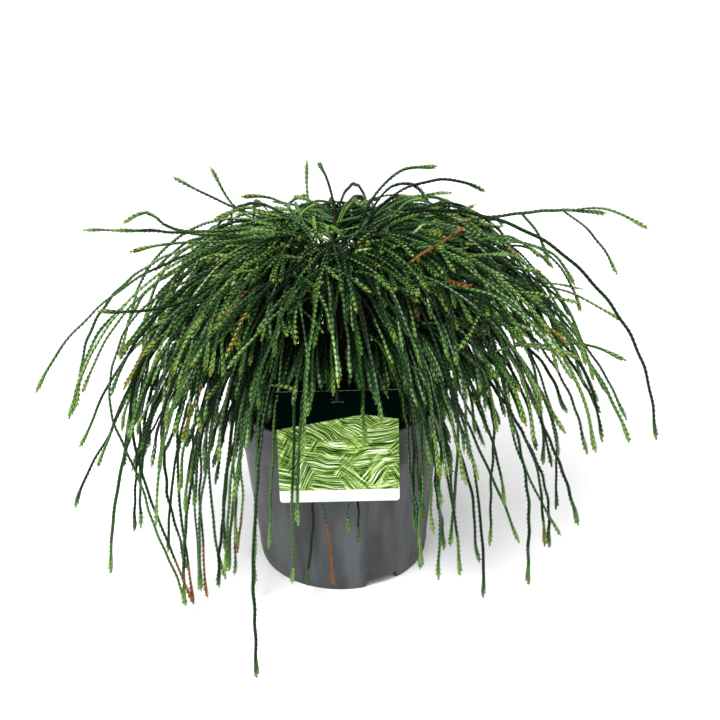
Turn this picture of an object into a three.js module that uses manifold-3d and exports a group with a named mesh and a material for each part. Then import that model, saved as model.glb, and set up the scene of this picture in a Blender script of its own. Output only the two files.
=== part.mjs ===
// Potted whipcord western red cedar: a grey nursery pot with its potting mix, a picture
// card tied to the plant, a short trunk, the boughs and the weeping cord foliage.
// Millimetres, +Z up. The pot stands on z = 0 with its axis on the origin, and the card
// is at the front, which is -Y. Azimuths are degrees from the front towards +X.
import * as THREE from 'three';
import { mergeVertices } from 'three/addons/utils/BufferGeometryUtils.js';
import Module from 'manifold-3d';

const wasm = await Module();
wasm.setup();

// Seat gap between neighbouring parts
const SEAT = 0.3;

// Pot
const POT_HEIGHT = 205;
const POT_RIM_R = 120;
const POT_COLLAR_R = 116;
const POT_COLLAR_Z = 157;
const POT_BODY_TOP_R = 109.5;
const POT_BASE_R = 95.8;
const POT_WALL = 2;
const POT_FLOOR = 3;
const POT_EDGE = 1.5;
const POT_FACETS = 40;

// Drainage notches in the foot of the pot
const NOTCH_AZIMUTHS = [25.4, 145.4, 265.4];
const NOTCH_WIDTH = 42;
const NOTCH_HEIGHT = 8.5;
const NOTCH_RAMP = 9;
const NOTCH_INNER_R = 77;
const NOTCH_ROOF = 2;

// Potting mix
const MIX_TOP = 193;
const MIX_CROWN = 197;
const MIX_FLAT_R = 18;
const MIX_BUMP = 1.6;

// Picture card and its tie
const CARD_WIDTH = 123;
const CARD_BELOW_RIM = 67;
const CARD_ABOVE_RIM = 53;
const CARD_THICK = 0.8;
const CARD_LEAN = 9;
const CARD_CORNER = 4;
const SLOT_WIDTH = 14;
const SLOT_HEIGHT = 4;
const SLOT_DROP = 8;
const TIE_WIDTH = 3;
const TIE_THICK = 0.8;
const TIE_BOUGH = 13;

// Trunk
const TRUNK_RINGS = [
  [0, 14], [2.5, 11.6], [8, 10], [22, 9], [40, 8], [46, 6.4],
];
const TRUNK_SIDES = 10;
const TRUNK_LEAN = 2;

// Boughs and the woody stem inside each foliage mass
const SKIRT_COUNT = 15;
const SKIRT_FIRST = 12;
const SKIRT_FOOT_HEIGHTS = [7, 15.5, 24];
const SKIRT_STEM = { radius: 48, height: 296, lift: 34, level: 0.5, length: 70, leave: 16, arch: 0.33 };
const CAP_COUNT = 6;
const CAP_FIRST = 0;
const CAP_FOOT_HEIGHT = 34;
const CAP_STEM = { radius: 17, height: 354, lift: 62, level: 0.9, length: 66, leave: 20, arch: 0.24 };
const BOUGH_FOOT_R = 3.3;
const BOUGH_TIP_R = 2.9;
const STEM_TIP_R = 2.2;
const LIMB_SIDES = 5;
const LIMB_STEPS = 5;

// Surface between the cap masses above and the skirt masses below
const DOME_BASE = 60;
const DOME_RISE = 300;
const DOME_REACH = 250;
const DOME_FRONT_CUT = 78;
const DOME_FRONT_SPREAD = 42;

// Habits of the cords: lift where they leave, its fade along the stem and its play, the
// droop they reach and its sag, how late they bend, and their length in millimetres
const CAP_HABIT = {
  spread: 1.045,
  drift: 0.095,
  lift: 34,
  fade: 38,
  play: 34,
  droop: -66,
  sag: 22,
  bend: 0.6,
  late: 0.5,
  shortest: 150,
  more: 220,
  parting: 0.45,
};
const SKIRT_HABIT = {
  spread: 1.045,
  drift: -0.19,
  lift: 16,
  fade: 30,
  play: 30,
  droop: -74,
  sag: 14,
  bend: 0.4,
  late: 0.5,
  shortest: 150,
  more: 210,
  parting: 0.6,
};
const PARTING_SPREAD = 20;
const FIRST_ROOT = 0.06;
const LEAST_GROWN = 0.55;
const CAP_CORDS = 10;
const SKIRT_CORDS = 8;
const TRIES_PER_CORD = 7;

// Side cords
const SIDE_SHARE = 0.2;
const SIDE_TURN = 26;
const SIDE_LIFT = 10;
const SIDE_DROOP = -80;
const SIDE_BEND = 0.8;
const SIDE_LEAST = 0.6;
const SIDE_FIRST = 2;
const SIDE_STEPS = 2;

// Long whips that stand clear of the crown: mass, share of its stem, azimuth, drift,
// lift, droop, bend and length. The last one is woody and forks: the step where a fork
// starts, its turn, lift, droop, bend and length.
const WHIP_LEAST = 0.5;
const WHIPS = [
  ['cap_06', 0.81, -80, 2, 2, -62, 1.11, 320],
  ['cap_06', 1, -74, 3, 17, -83, 0.29, 440],
  ['cap_05', 0.3, -95, -5, 8, -82, 1.19, 365],
  ['cap_05', 0.24, -104, 1, 1, -4, 2.5, 260],
  ['cap_05', 0.36, -112, -1, 9, 21, 0.54, 165],
  ['cap_05', 0.5, -122, -2, -3, 83, 2.35, 140],
  ['cap_04', 0.3, -153, -29, -11, 84, 2.33, 155],
  ['cap_04', 0.89, -166, 2, 36, -80, 2.16, 110],
  ['cap_03', 0.25, 133, -7, 75, -20, 0.99, 140],
  ['cap_03', 0.4, 113, -1, 64, -35, 0.84, 165],
  ['cap_02', 0.55, 75, 1, 68, -84, 0.53, 445],
  ['cap_02', 0.8, 66, 3, 4, -72, 0.25, 385],
  ['cap_01', 0.74, -32, 27, 33, -87, 0.3, 465],
  ['skirt_13', 0.42, -51, 14, 49, -86, 0.21, 345],
  ['skirt_14', 1, -38, 0, -20, -84, 0.27, 270],
  ['skirt_03', 0.5, 58, 8, -39, -68, 0.34, 285],
  ['skirt_15', 0.78, -17, 0, 4, -84, 0.24, 205],
  ['skirt_15', 0.65, -10, -2, 4, -78, 0.24, 180],
  ['skirt_01', 0.7, 10, 0, 4, -80, 0.24, 120],
  ['cap_03', 0.21, 97, -2, 9, -10, 2.65, 270],
];
const FORKS = [
  [5, -6, 14, -40, 1, 95],
  [5, 14, -30, -64, 0.8, 110],
  [4, 30, -40, -66, 0.8, 75],
];

// Steering of a cord that would leave its space
const STEER_TRIES = 16;
const STEER_LIFT = 6;
const STEER_TURN = 4;
const STEEPEST_FALL = -88;
const STEEPEST_RISE = 70;
const STRAY = 0.5;
const ROOT_STEPS = 2;

// Cords
const CORD_R = 3.3;
const CORD_STEP = 44;
const TOOTH = 0.16;
const CORD_TIP_SWELL = 1.25;
const CORD_SIDES = 3;
const CORD_POINT = 2.2;
const CORD_ROOT_R = 1.7;
const CLEAR = 0.9;
const GROUND_CLEAR = 13;
const SEED = 4127;

const FRONT = -Math.PI / 2;
const rad = THREE.MathUtils.degToRad;

const FINISH = {
  pot: { color: '#63666a', roughness: 0.55 },
  mix: { color: '#3d2b21', roughness: 0.95 },
  card: { color: '#7f9f56', roughness: 0.4 },
  tie: { color: '#1c211f', roughness: 0.5 },
  bark: { color: '#6b4630', roughness: 0.9 },
  cap: { color: '#47733a', roughness: 0.7 },
  skirt: { color: '#33602f', roughness: 0.7 },
};

// Seeded numbers between 0 and 1
function seeded(seed) {
  let state = seed >>> 0;
  return () => {
    state = (state + 0x6d2b79f5) >>> 0;
    let mixed = Math.imul(state ^ (state >>> 15), state | 1);
    mixed = (mixed + Math.imul(mixed ^ (mixed >>> 7), mixed | 61)) ^ mixed;
    return ((mixed ^ (mixed >>> 14)) >>> 0) / 4294967296;
  };
}

function direction(azimuth, lift) {
  const turn = FRONT + rad(azimuth);
  const level = Math.cos(rad(lift));
  return new THREE.Vector3(
    level * Math.cos(turn),
    level * Math.sin(turn),
    Math.sin(rad(lift)),
  );
}

function azimuthOf(point) {
  return THREE.MathUtils.radToDeg(Math.atan2(point.x, -point.y));
}

function turnBetween(a, b) {
  return ((((a - b + 180) % 360) + 360) % 360) - 180;
}

function solidOf(positions, triangles) {
  const raw = new wasm.Mesh({
    numProp: 3,
    vertProperties: new Float32Array(positions),
    triVerts: new Uint32Array(triangles),
  });
  return new wasm.Manifold(raw);
}

function solidOfGeometry(geometry) {
  const bare = geometry.clone();
  bare.deleteAttribute('normal');
  bare.deleteAttribute('uv');
  const merged = mergeVertices(bare, 1e-4);
  const corners = merged.index.array;
  const kept = [];
  for (let i = 0; i < corners.length; i += 3) {
    const [a, b, c] = [corners[i], corners[i + 1], corners[i + 2]];
    if (a !== b && b !== c && c !== a) kept.push(a, b, c);
  }
  return solidOf(merged.attributes.position.array, kept);
}

function meshOf(solid, name, finish) {
  const raw = solid.getMesh();
  const geometry = new THREE.BufferGeometry();
  geometry.setAttribute('position', new THREE.BufferAttribute(raw.vertProperties, 3));
  geometry.setIndex(new THREE.BufferAttribute(raw.triVerts, 1));
  geometry.computeVertexNormals();
  const material = new THREE.MeshStandardMaterial({
    color: finish.color,
    roughness: finish.roughness,
    metalness: 0,
  });
  const mesh = new THREE.Mesh(geometry, material);
  mesh.name = name;
  return mesh;
}

// A closed limb along a path, its rings kept from twisting, with a flat or a pointed end
function limbSolid(path, radii, sides, pointed) {
  const positions = [];
  const triangles = [];
  const last = path.length - 1;
  const normal = new THREE.Vector3();
  for (let i = 0; i <= last; i += 1) {
    const along = path[Math.min(i + 1, last)].clone().sub(path[Math.max(i - 1, 0)]);
    along.normalize();
    if (i === 0) normal.set(along.y, -along.x, 0.01);
    normal.addScaledVector(along, -normal.dot(along)).normalize();
    const side = along.clone().cross(normal);
    for (let k = 0; k < sides; k += 1) {
      const angle = (2 * Math.PI * k) / sides;
      const corner = path[i].clone();
      corner.addScaledVector(normal, radii[i] * Math.cos(angle));
      corner.addScaledVector(side, radii[i] * Math.sin(angle));
      positions.push(corner.x, corner.y, corner.z);
    }
  }
  for (let i = 0; i < last; i += 1) {
    for (let k = 0; k < sides; k += 1) {
      const here = i * sides + k;
      const next = i * sides + ((k + 1) % sides);
      triangles.push(here, next, here + sides, next, next + sides, here + sides);
    }
  }
  for (let k = 1; k < sides - 1; k += 1) triangles.push(0, k + 1, k);
  const end = last * sides;
  if (pointed) {
    const tip = path[last].clone();
    const back = path[last].clone().sub(path[last - 1]).setLength(radii[last] * pointed);
    tip.add(back);
    positions.push(tip.x, tip.y, tip.z);
    const apex = positions.length / 3 - 1;
    for (let k = 0; k < sides; k += 1) {
      triangles.push(end + k, end + ((k + 1) % sides), apex);
    }
  } else {
    for (let k = 1; k < sides - 1; k += 1) triangles.push(end, end + k, end + k + 1);
  }
  return solidOf(positions, triangles);
}

// Pot and potting mix

function notchTool(azimuth, grow, top, innerR) {
  const half = NOTCH_WIDTH / 2 + grow;
  const shape = new THREE.Shape();
  shape.moveTo(-half, -POT_FLOOR);
  shape.lineTo(half, -POT_FLOOR);
  shape.lineTo(half, top);
  shape.lineTo(NOTCH_RAMP - half, top);
  shape.lineTo(NOTCH_RAMP * 0.6 - half, top * 0.8);
  shape.lineTo(NOTCH_RAMP * 0.2 - half, top * 0.2);
  shape.lineTo(-half, 0);
  shape.closePath();
  const geometry = new THREE.ExtrudeGeometry(shape, {
    depth: POT_RIM_R - innerR,
    bevelEnabled: false,
  });
  geometry.rotateX(Math.PI / 2);
  geometry.translate(0, -innerR, 0);
  geometry.rotateZ(rad(azimuth));
  return solidOfGeometry(geometry);
}

function turned(profile) {
  const points = profile.map(([r, z]) => new THREE.Vector2(r, z));
  const geometry = new THREE.LatheGeometry(points, POT_FACETS);
  geometry.rotateX(Math.PI / 2);
  return geometry;
}

const POT_INNER_BASE_R = POT_BASE_R - POT_WALL;
const POT_INNER_STEP_R = POT_BODY_TOP_R - POT_WALL;
const POT_INNER_STEP_Z = POT_COLLAR_Z + POT_WALL;

function potSolid() {
  const geometry = turned([
    [0, 0],
    [POT_BASE_R - POT_EDGE, 0],
    [POT_BASE_R, POT_EDGE],
    [POT_BODY_TOP_R, POT_COLLAR_Z],
    [POT_COLLAR_R - POT_EDGE, POT_COLLAR_Z],
    [POT_COLLAR_R, POT_COLLAR_Z + POT_EDGE],
    [POT_RIM_R, POT_HEIGHT],
    [POT_RIM_R - POT_WALL, POT_HEIGHT],
    [POT_COLLAR_R - POT_WALL, POT_INNER_STEP_Z],
    [POT_INNER_STEP_R, POT_INNER_STEP_Z],
    [POT_INNER_BASE_R, POT_FLOOR],
    [0, POT_FLOOR],
  ]);
  let pot = solidOfGeometry(geometry);
  const roofTop = NOTCH_HEIGHT + NOTCH_ROOF;
  const inside = solidOfGeometry(turned([
    [0, 0],
    [POT_INNER_BASE_R + POT_WALL / 2, 0],
    [POT_INNER_BASE_R + POT_WALL / 2, roofTop],
    [0, roofTop],
  ]));
  for (const azimuth of NOTCH_AZIMUTHS) {
    const roof = notchTool(azimuth, NOTCH_ROOF, roofTop, NOTCH_INNER_R - NOTCH_ROOF);
    pot = pot.add(roof.intersect(inside));
    pot = pot.subtract(notchTool(azimuth, 0, NOTCH_HEIGHT, NOTCH_INNER_R));
  }
  return pot;
}

function mixSolid() {
  const play = SEAT / Math.cos(Math.PI / POT_FACETS);
  const slope = (POT_RIM_R - POT_COLLAR_R) / (POT_HEIGHT - POT_COLLAR_Z);
  const rimR = POT_COLLAR_R - POT_WALL + slope * (MIX_TOP - POT_INNER_STEP_Z);
  const geometry = turned([
    [0, POT_FLOOR + SEAT],
    [POT_INNER_BASE_R - play, POT_FLOOR + SEAT],
    [POT_INNER_STEP_R - play, POT_INNER_STEP_Z + SEAT],
    [POT_COLLAR_R - POT_WALL - play, POT_INNER_STEP_Z + SEAT],
    [rimR - play, MIX_TOP],
    [rimR * 0.72, MIX_TOP + 1.2],
    [rimR * 0.42, MIX_TOP + 2.6],
    [MIX_FLAT_R, MIX_CROWN],
    [0, MIX_CROWN],
  ]);
  const place = geometry.attributes.position;
  for (let i = 0; i < place.count; i += 1) {
    const [x, y] = [place.getX(i), place.getY(i)];
    const r = Math.hypot(x, y);
    const onTop = place.getZ(i) > MIX_TOP + 0.5;
    if (onTop && r > MIX_FLAT_R + 1) {
      const bump = Math.sin(x * 0.31 + 1) * Math.cos(y * 0.27) + Math.sin((x + y) * 0.6);
      place.setZ(i, place.getZ(i) + MIX_BUMP * 0.5 * bump);
    }
  }
  let mix = solidOfGeometry(geometry);
  const grow = NOTCH_ROOF + SEAT;
  const top = NOTCH_HEIGHT + NOTCH_ROOF + SEAT;
  for (const azimuth of NOTCH_AZIMUTHS) {
    mix = mix.subtract(notchTool(azimuth, grow, top, NOTCH_INNER_R - grow));
  }
  return mix;
}

// Picture card: it leans on the rim at the front, its top tilted back

const CARD_CONTACT = new THREE.Vector3(0, -POT_RIM_R - SEAT, POT_HEIGHT);
const cardUp = new THREE.Vector3(0, Math.sin(rad(CARD_LEAN)), Math.cos(rad(CARD_LEAN)));
const cardOut = new THREE.Vector3(0, -cardUp.z, cardUp.y);

function cardPoint(across, up, out) {
  const point = CARD_CONTACT.clone();
  point.x += across;
  return point.addScaledVector(cardUp, up).addScaledVector(cardOut, out);
}

function cardSolid() {
  const half = CARD_WIDTH / 2;
  const shape = new THREE.Shape();
  shape.moveTo(-half, CARD_ABOVE_RIM);
  shape.lineTo(-half, CARD_CORNER - CARD_BELOW_RIM);
  shape.quadraticCurveTo(-half, -CARD_BELOW_RIM, CARD_CORNER - half, -CARD_BELOW_RIM);
  shape.lineTo(half - CARD_CORNER, -CARD_BELOW_RIM);
  shape.quadraticCurveTo(half, -CARD_BELOW_RIM, half, CARD_CORNER - CARD_BELOW_RIM);
  shape.lineTo(half, CARD_ABOVE_RIM);
  shape.closePath();
  const slot = new THREE.Path();
  const slotTop = CARD_ABOVE_RIM - SLOT_DROP;
  slot.moveTo(-SLOT_WIDTH / 2, slotTop - SLOT_HEIGHT);
  slot.lineTo(-SLOT_WIDTH / 2, slotTop);
  slot.lineTo(SLOT_WIDTH / 2, slotTop);
  slot.lineTo(SLOT_WIDTH / 2, slotTop - SLOT_HEIGHT);
  slot.closePath();
  shape.holes.push(slot);
  const geometry = new THREE.ExtrudeGeometry(shape, {
    depth: CARD_THICK,
    bevelEnabled: false,
    curveSegments: 4,
  });
  const place = new THREE.Matrix4();
  const across = new THREE.Vector3(1, 0, 0);
  place.makeBasis(across, cardUp, cardOut).setPosition(CARD_CONTACT);
  geometry.applyMatrix4(place);
  return solidOfGeometry(geometry);
}

// Trunk, boughs and stems

const trunkLean = direction(-60, 90 - TRUNK_LEAN);

function trunkPoint(height) {
  return new THREE.Vector3(0, 0, MIX_CROWN + SEAT).addScaledVector(trunkLean, height);
}

function trunkSolid(grow) {
  const path = TRUNK_RINGS.map(([height]) => trunkPoint(height));
  if (grow) path[path.length - 1].addScaledVector(trunkLean, grow);
  path[0] = new THREE.Vector3(0, 0, MIX_CROWN + SEAT);
  const radii = TRUNK_RINGS.map(([, radius]) => radius + grow);
  const solid = limbSolid(path, radii, TRUNK_SIDES, 0);
  return grow ? solid : solid.trimByPlane([0, 0, 1], MIX_CROWN + SEAT);
}

// The stem of a mass starts where its bough ends and bends a little towards level
function massStem(mass) {
  const size = mass.cap ? CAP_STEM : SKIRT_STEM;
  const start = direction(mass.azimuth, 0).multiplyScalar(size.radius);
  start.z = size.height;
  const path = [start];
  const steps = LIMB_STEPS - 1;
  for (let i = 0; i < steps; i += 1) {
    const lift = size.lift * (1 - (size.level * i) / steps);
    const next = path[i].clone();
    next.addScaledVector(direction(mass.azimuth, lift), size.length / steps);
    path.push(next);
  }
  return path;
}

function boughPath(mass) {
  const rank = SKIRT_FOOT_HEIGHTS[mass.index % SKIRT_FOOT_HEIGHTS.length];
  const foot = trunkPoint(mass.cap ? CAP_FOOT_HEIGHT : rank);
  const size = mass.cap ? CAP_STEM : SKIRT_STEM;
  const end = mass.stem[0].clone();
  const heading = direction(mass.azimuth, size.lift);
  end.addScaledVector(heading, -SEAT);
  const bend = end.clone().addScaledVector(heading, -BOUGH_FOOT_R);
  const reach = foot.distanceTo(end) * size.arch;
  const curve = new THREE.CubicBezierCurve3(
    foot,
    foot.clone().addScaledVector(direction(mass.azimuth, size.leave), reach),
    bend.clone().addScaledVector(heading, -reach),
    bend,
  );
  return [...curve.getPoints(LIMB_STEPS - 1), end];
}

function boughSolid(mass) {
  const radii = mass.bough.map((point, i) => (
    THREE.MathUtils.lerp(BOUGH_FOOT_R, BOUGH_TIP_R, i / LIMB_STEPS)
  ));
  return limbSolid(mass.bough, radii, LIMB_SIDES, 0).subtract(trunkSolid(SEAT));
}

// Space of each mass

function domeReach(azimuth) {
  const turn = turnBetween(azimuth, 0) / DOME_FRONT_SPREAD;
  return DOME_REACH - DOME_FRONT_CUT * Math.exp(-turn * turn);
}

function domeHeight(radius, azimuth) {
  const share = radius / domeReach(azimuth);
  if (share >= 1) return -Infinity;
  return DOME_BASE + DOME_RISE * Math.sqrt(1 - share ** 3);
}

// How far a point is past the surface its mass must stay on one side of
function pastDome(mass, point) {
  const radius = Math.hypot(point.x, point.y);
  const surface = domeHeight(radius, azimuthOf(point));
  const over = point.z - surface;
  const room = CORD_R + CLEAR;
  return mass.cap ? room - over : over + room;
}

function pastSector(mass, point) {
  const radius = Math.hypot(point.x, point.y);
  const turn = turnBetween(azimuthOf(point), mass.azimuth);
  const side = radius * Math.sin(rad(mass.halfWidth - Math.min(Math.abs(turn), 90)));
  return CORD_R + CLEAR - side;
}

function touchesPot(point) {
  const radius = Math.hypot(point.x, point.y);
  const room = CORD_R * 2;
  if (point.z > POT_HEIGHT + room) return false;
  if (radius < POT_RIM_R + room && point.z > POT_COLLAR_Z - room) return true;
  return radius < POT_BODY_TOP_R + room;
}

function touchesCard(point) {
  const from = point.clone().sub(CARD_CONTACT);
  const room = CORD_R + CARD_THICK + CLEAR;
  const up = from.dot(cardUp);
  const beside = Math.abs(from.x) > CARD_WIDTH / 2 + room;
  const overOrUnder = up > CARD_ABOVE_RIM + room || up < -CARD_BELOW_RIM - room;
  return !beside && !overOrUnder && Math.abs(from.dot(cardOut)) < room;
}

// Everything already in place, as short straight lengths with a radius
const placed = [];

function placePath(path, radius, owner) {
  for (let i = 0; i + 1 < path.length; i += 1) {
    placed.push({ line: new THREE.Line3(path[i], path[i + 1]), radius, owner });
  }
}

function blocked(from, to, owner, nearRoot) {
  const line = new THREE.Line3(from, to);
  for (const other of placed) {
    if (nearRoot && other.owner === owner) continue;
    const room = CORD_R * (1 + TOOTH) + other.radius + CLEAR;
    if (line.distanceSqToLine3(other.line) < room * room) return true;
  }
  return false;
}

// One cord: it leaves its root at a lift, bends over towards its droop and lies along
// the surface of its mass where it would cross it; it stops where it is blocked
function growCord(mass, root, habit) {
  const path = [root.clone()];
  const steps = Math.max(2, Math.round(habit.length / CORD_STEP));
  const step = habit.length / steps;
  for (let i = 0; i < steps; i += 1) {
    const share = (i + 0.5) / steps;
    let lift = THREE.MathUtils.lerp(habit.lift, habit.droop, share ** habit.bend);
    let azimuth = habit.azimuth + habit.drift * share;
    let next = path[i].clone().addScaledVector(direction(azimuth, lift), step);
    for (let tries = 0; tries < STEER_TRIES; tries += 1) {
      const outside = pastDome(mass, next) > 0;
      const astray = pastSector(mass, next) > 0;
      if (!outside && !astray) break;
      if (outside) {
        lift += mass.cap ? STEER_LIFT : -STEER_LIFT;
        lift = THREE.MathUtils.clamp(lift, STEEPEST_FALL, STEEPEST_RISE);
      }
      if (astray) {
        azimuth += Math.sign(turnBetween(mass.azimuth, azimuthOf(next))) * STEER_TURN;
      }
      next = path[i].clone().addScaledVector(direction(azimuth, lift), step);
    }
    const low = next.z < GROUND_CLEAR;
    const outside = pastDome(mass, next) > STRAY || pastSector(mass, next) > STRAY;
    if (low || outside || touchesPot(next) || touchesCard(next)) break;
    if (blocked(path[i], next, mass.name, i < ROOT_STEPS)) break;
    path.push(next);
  }
  return path.length > Math.max(ROOT_STEPS, steps * habit.least) ? path : null;
}

function cordRadius(i, count) {
  if (i === 0) return CORD_ROOT_R;
  if (i === count - 1) return CORD_R * CORD_TIP_SWELL;
  return CORD_R * (i % 2 ? 1 + TOOTH : 1 - TOOTH);
}

function cordSolid(path) {
  const radii = path.map((point, i) => cordRadius(i, path.length));
  return limbSolid(path, radii, CORD_SIDES, CORD_POINT);
}

function stemPoint(stem, share) {
  const at = share * (stem.length - 1);
  const i = Math.min(Math.floor(at), stem.length - 2);
  return stem[i].clone().lerp(stem[i + 1], at - i);
}

// Cords are shorter where the front is parted
function frontShare(azimuth, cut) {
  const turn = turnBetween(azimuth, 0) / PARTING_SPREAD;
  return 1 - cut * Math.exp(-turn * turn);
}

// Seeded habit of one cord, from the ranges of its mass
function cordHabit(mass, random) {
  const range = mass.cap ? CAP_HABIT : SKIRT_HABIT;
  const share = FIRST_ROOT + (1 - FIRST_ROOT) * random();
  const spread = (2 * random() - 1) * mass.halfWidth;
  const pitch = random() - 0.5;
  const fall = random();
  const reach = random();
  const azimuth = mass.azimuth + spread * range.spread;
  const length = range.shortest + range.more * reach;
  return {
    share,
    azimuth,
    drift: spread * range.drift,
    lift: range.lift - range.fade * share + range.play * pitch,
    droop: range.droop - range.sag * fall,
    bend: range.bend + range.late * fall,
    length: length * frontShare(azimuth, range.parting),
    least: LEAST_GROWN,
  };
}

function keepCord(mass, path, from) {
  mass.cords.push(path);
  placePath(path.slice(from), CORD_R * (1 + TOOTH), mass.name);
}

function growWhips(mass) {
  for (const [owner, share, azimuth, drift, lift, droop, bend, length] of WHIPS) {
    if (!mass.name.endsWith(owner)) continue;
    const habit = { azimuth, drift, lift, droop, bend, length, least: WHIP_LEAST };
    const path = growCord(mass, stemPoint(mass.stem, share), habit);
    if (path) keepCord(mass, path, 0);
    const forked = path && owner === WHIPS.at(-1)[0] && azimuth === WHIPS.at(-1)[2];
    if (forked) growForks(mass, path);
  }
}

function growForks(mass, whip) {
  for (const [at, turn, lift, droop, bend, length] of FORKS) {
    if (at >= whip.length - 1) continue;
    const heading = azimuthOf(whip[at + 1].clone().sub(whip[at]));
    const habit = { azimuth: heading + turn, drift: 0, lift, droop, bend, length };
    habit.least = WHIP_LEAST;
    const path = growCord(mass, whip[at], habit);
    if (path) keepCord(mass, path, 1);
  }
}

function growMass(mass) {
  growWhips(mass);
  const wanted = mass.cap ? CAP_CORDS : SKIRT_CORDS;
  const tries = wanted * TRIES_PER_CORD;
  for (let i = 0; i < tries && mass.cords.length < wanted; i += 1) {
    const random = seeded(SEED + mass.number * 1009 + i * 31);
    const habit = cordHabit(mass, random);
    const path = growCord(mass, stemPoint(mass.stem, habit.share), habit);
    if (!path) continue;
    keepCord(mass, path, 0);
    if (random() > SIDE_SHARE || path.length < SIDE_FIRST + SIDE_STEPS + 2) continue;
    const at = SIDE_FIRST + Math.floor(random() * (path.length - SIDE_FIRST - 2));
    const turn = random() < 0.5 ? -SIDE_TURN : SIDE_TURN;
    const heading = path[at + 1].clone().sub(path[at]).normalize();
    const side = growCord(mass, path[at], {
      azimuth: azimuthOf(heading) + turn,
      drift: -turn / 2,
      lift: THREE.MathUtils.radToDeg(Math.asin(heading.z)) + SIDE_LIFT,
      droop: SIDE_DROOP,
      bend: SIDE_BEND,
      length: CORD_STEP * (SIDE_STEPS + Math.floor(random() * 2)),
      least: SIDE_LEAST,
    });
    if (side) keepCord(mass, side, 1);
  }
}

function massSolid(mass) {
  const steps = mass.stem.length - 1;
  const radii = mass.stem.map((point, i) => (
    THREE.MathUtils.lerp(BOUGH_TIP_R, STEM_TIP_R, i / steps)
  ));
  const stem = limbSolid(mass.stem, radii, LIMB_SIDES, 1);
  const fused = wasm.Manifold.union([stem, ...mass.cords.map(cordSolid)]);
  const shells = fused.decompose();
  return shells.reduce((most, shell) => (shell.volume() > most.volume() ? shell : most));
}

// Tie: a closed strap through the slot of the card and round one bough
function tieSolid(bough) {
  const at = bough[3].clone();
  const along = bough[4].clone().sub(bough[2]).normalize();
  const slotMiddle = CARD_ABOVE_RIM - SLOT_DROP - SLOT_HEIGHT / 2;
  const slot = cardPoint(0, slotMiddle, CARD_THICK / 2);
  const pull = at.clone().sub(slot).normalize();
  const wide = along.clone().addScaledVector(pull, -along.dot(pull)).normalize();
  const thin = pull.clone().cross(wide);
  if (thin.z < 0) thin.negate();
  const loop = BOUGH_FOOT_R + SEAT + TIE_THICK;
  const front = CARD_THICK / 2 + SEAT + TIE_THICK;
  const over = CARD_ABOVE_RIM + SEAT + TIE_THICK;
  const beyond = (loop * 1.1) / Math.abs(along.dot(wide));
  const around = (turn) => at.clone()
    .addScaledVector(pull, beyond * Math.cos(rad(turn)))
    .addScaledVector(thin, loop * 1.12 * Math.sin(rad(turn)));
  const path = [
    cardPoint(0, slotMiddle, CARD_THICK / 2 - front),
    cardPoint(0, slotMiddle - 0.6, CARD_THICK / 2),
    cardPoint(0, slotMiddle, CARD_THICK / 2 + front),
    cardPoint(0, over - 1, CARD_THICK / 2 + front),
    cardPoint(0, over + 0.6, CARD_THICK / 2),
    around(120), around(80), around(40), around(0), around(-40), around(-80), around(-120),
  ];
  const positions = [];
  const triangles = [];
  const count = path.length;
  for (let i = 0; i < count; i += 1) {
    const step = path[(i + 1) % count].clone().sub(path[(i + count - 1) % count]);
    const flat = i < 5 ? new THREE.Vector3(1, 0, 0) : wide.clone().multiplyScalar(wide.x < 0 ? -1 : 1);
    flat.addScaledVector(step.normalize(), -flat.dot(step)).normalize();
    const thick = step.clone().cross(flat);
    for (const [u, v] of [[-1, -1], [1, -1], [1, 1], [-1, 1]]) {
      const corner = path[i].clone();
      corner.addScaledVector(flat, (u * TIE_WIDTH) / 2);
      corner.addScaledVector(thick, (v * TIE_THICK) / 2);
      positions.push(corner.x, corner.y, corner.z);
    }
    const after = ((i + 1) % count) * 4;
    for (let k = 0; k < 4; k += 1) {
      const next = (k + 1) % 4;
      triangles.push(i * 4 + k, i * 4 + next, after + k);
      triangles.push(i * 4 + next, after + next, after + k);
    }
  }
  const tie = solidOf(positions, triangles);
  return tie.volume() < 0 ? solidOf(positions, triangles.toReversed()) : tie;
}

const masses = [];
for (let i = 0; i < CAP_COUNT; i += 1) {
  masses.push({ cap: true, index: i, azimuth: CAP_FIRST + (360 / CAP_COUNT) * i });
}
for (let i = 0; i < SKIRT_COUNT; i += 1) {
  masses.push({ cap: false, index: i, azimuth: SKIRT_FIRST + (360 / SKIRT_COUNT) * i });
}
masses.forEach((mass, i) => {
  const label = `${mass.cap ? 'cap' : 'skirt'}_${String(mass.index + 1).padStart(2, '0')}`;
  mass.number = i;
  mass.name = `foliage_${label}`;
  mass.boughName = `bough_${label}`;
  mass.halfWidth = 180 / (mass.cap ? CAP_COUNT : SKIRT_COUNT);
  mass.cords = [];
  mass.stem = massStem(mass);
  mass.bough = boughPath(mass);
  placePath(mass.stem, BOUGH_TIP_R, mass.name);
  placePath(mass.bough, BOUGH_FOOT_R, mass.boughName);
});
for (const mass of masses) growMass(mass);

const plant = new THREE.Group();
plant.name = 'potted_whipcord_cedar';
plant.add(meshOf(potSolid(), 'pot', FINISH.pot));
plant.add(meshOf(mixSolid(), 'potting_mix', FINISH.mix));
plant.add(meshOf(cardSolid(), 'picture_card', FINISH.card));
plant.add(meshOf(trunkSolid(0), 'trunk', FINISH.bark));
for (const mass of masses) {
  const finish = mass.cap ? FINISH.cap : FINISH.skirt;
  plant.add(meshOf(boughSolid(mass), mass.boughName, FINISH.bark));
  plant.add(meshOf(massSolid(mass), mass.name, finish));
}
const tiedTo = masses.find((mass) => !mass.cap && mass.index === TIE_BOUGH);
plant.add(meshOf(tieSolid(tiedTo.bough), 'card_tie', FINISH.tie));

export default plant;
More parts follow.
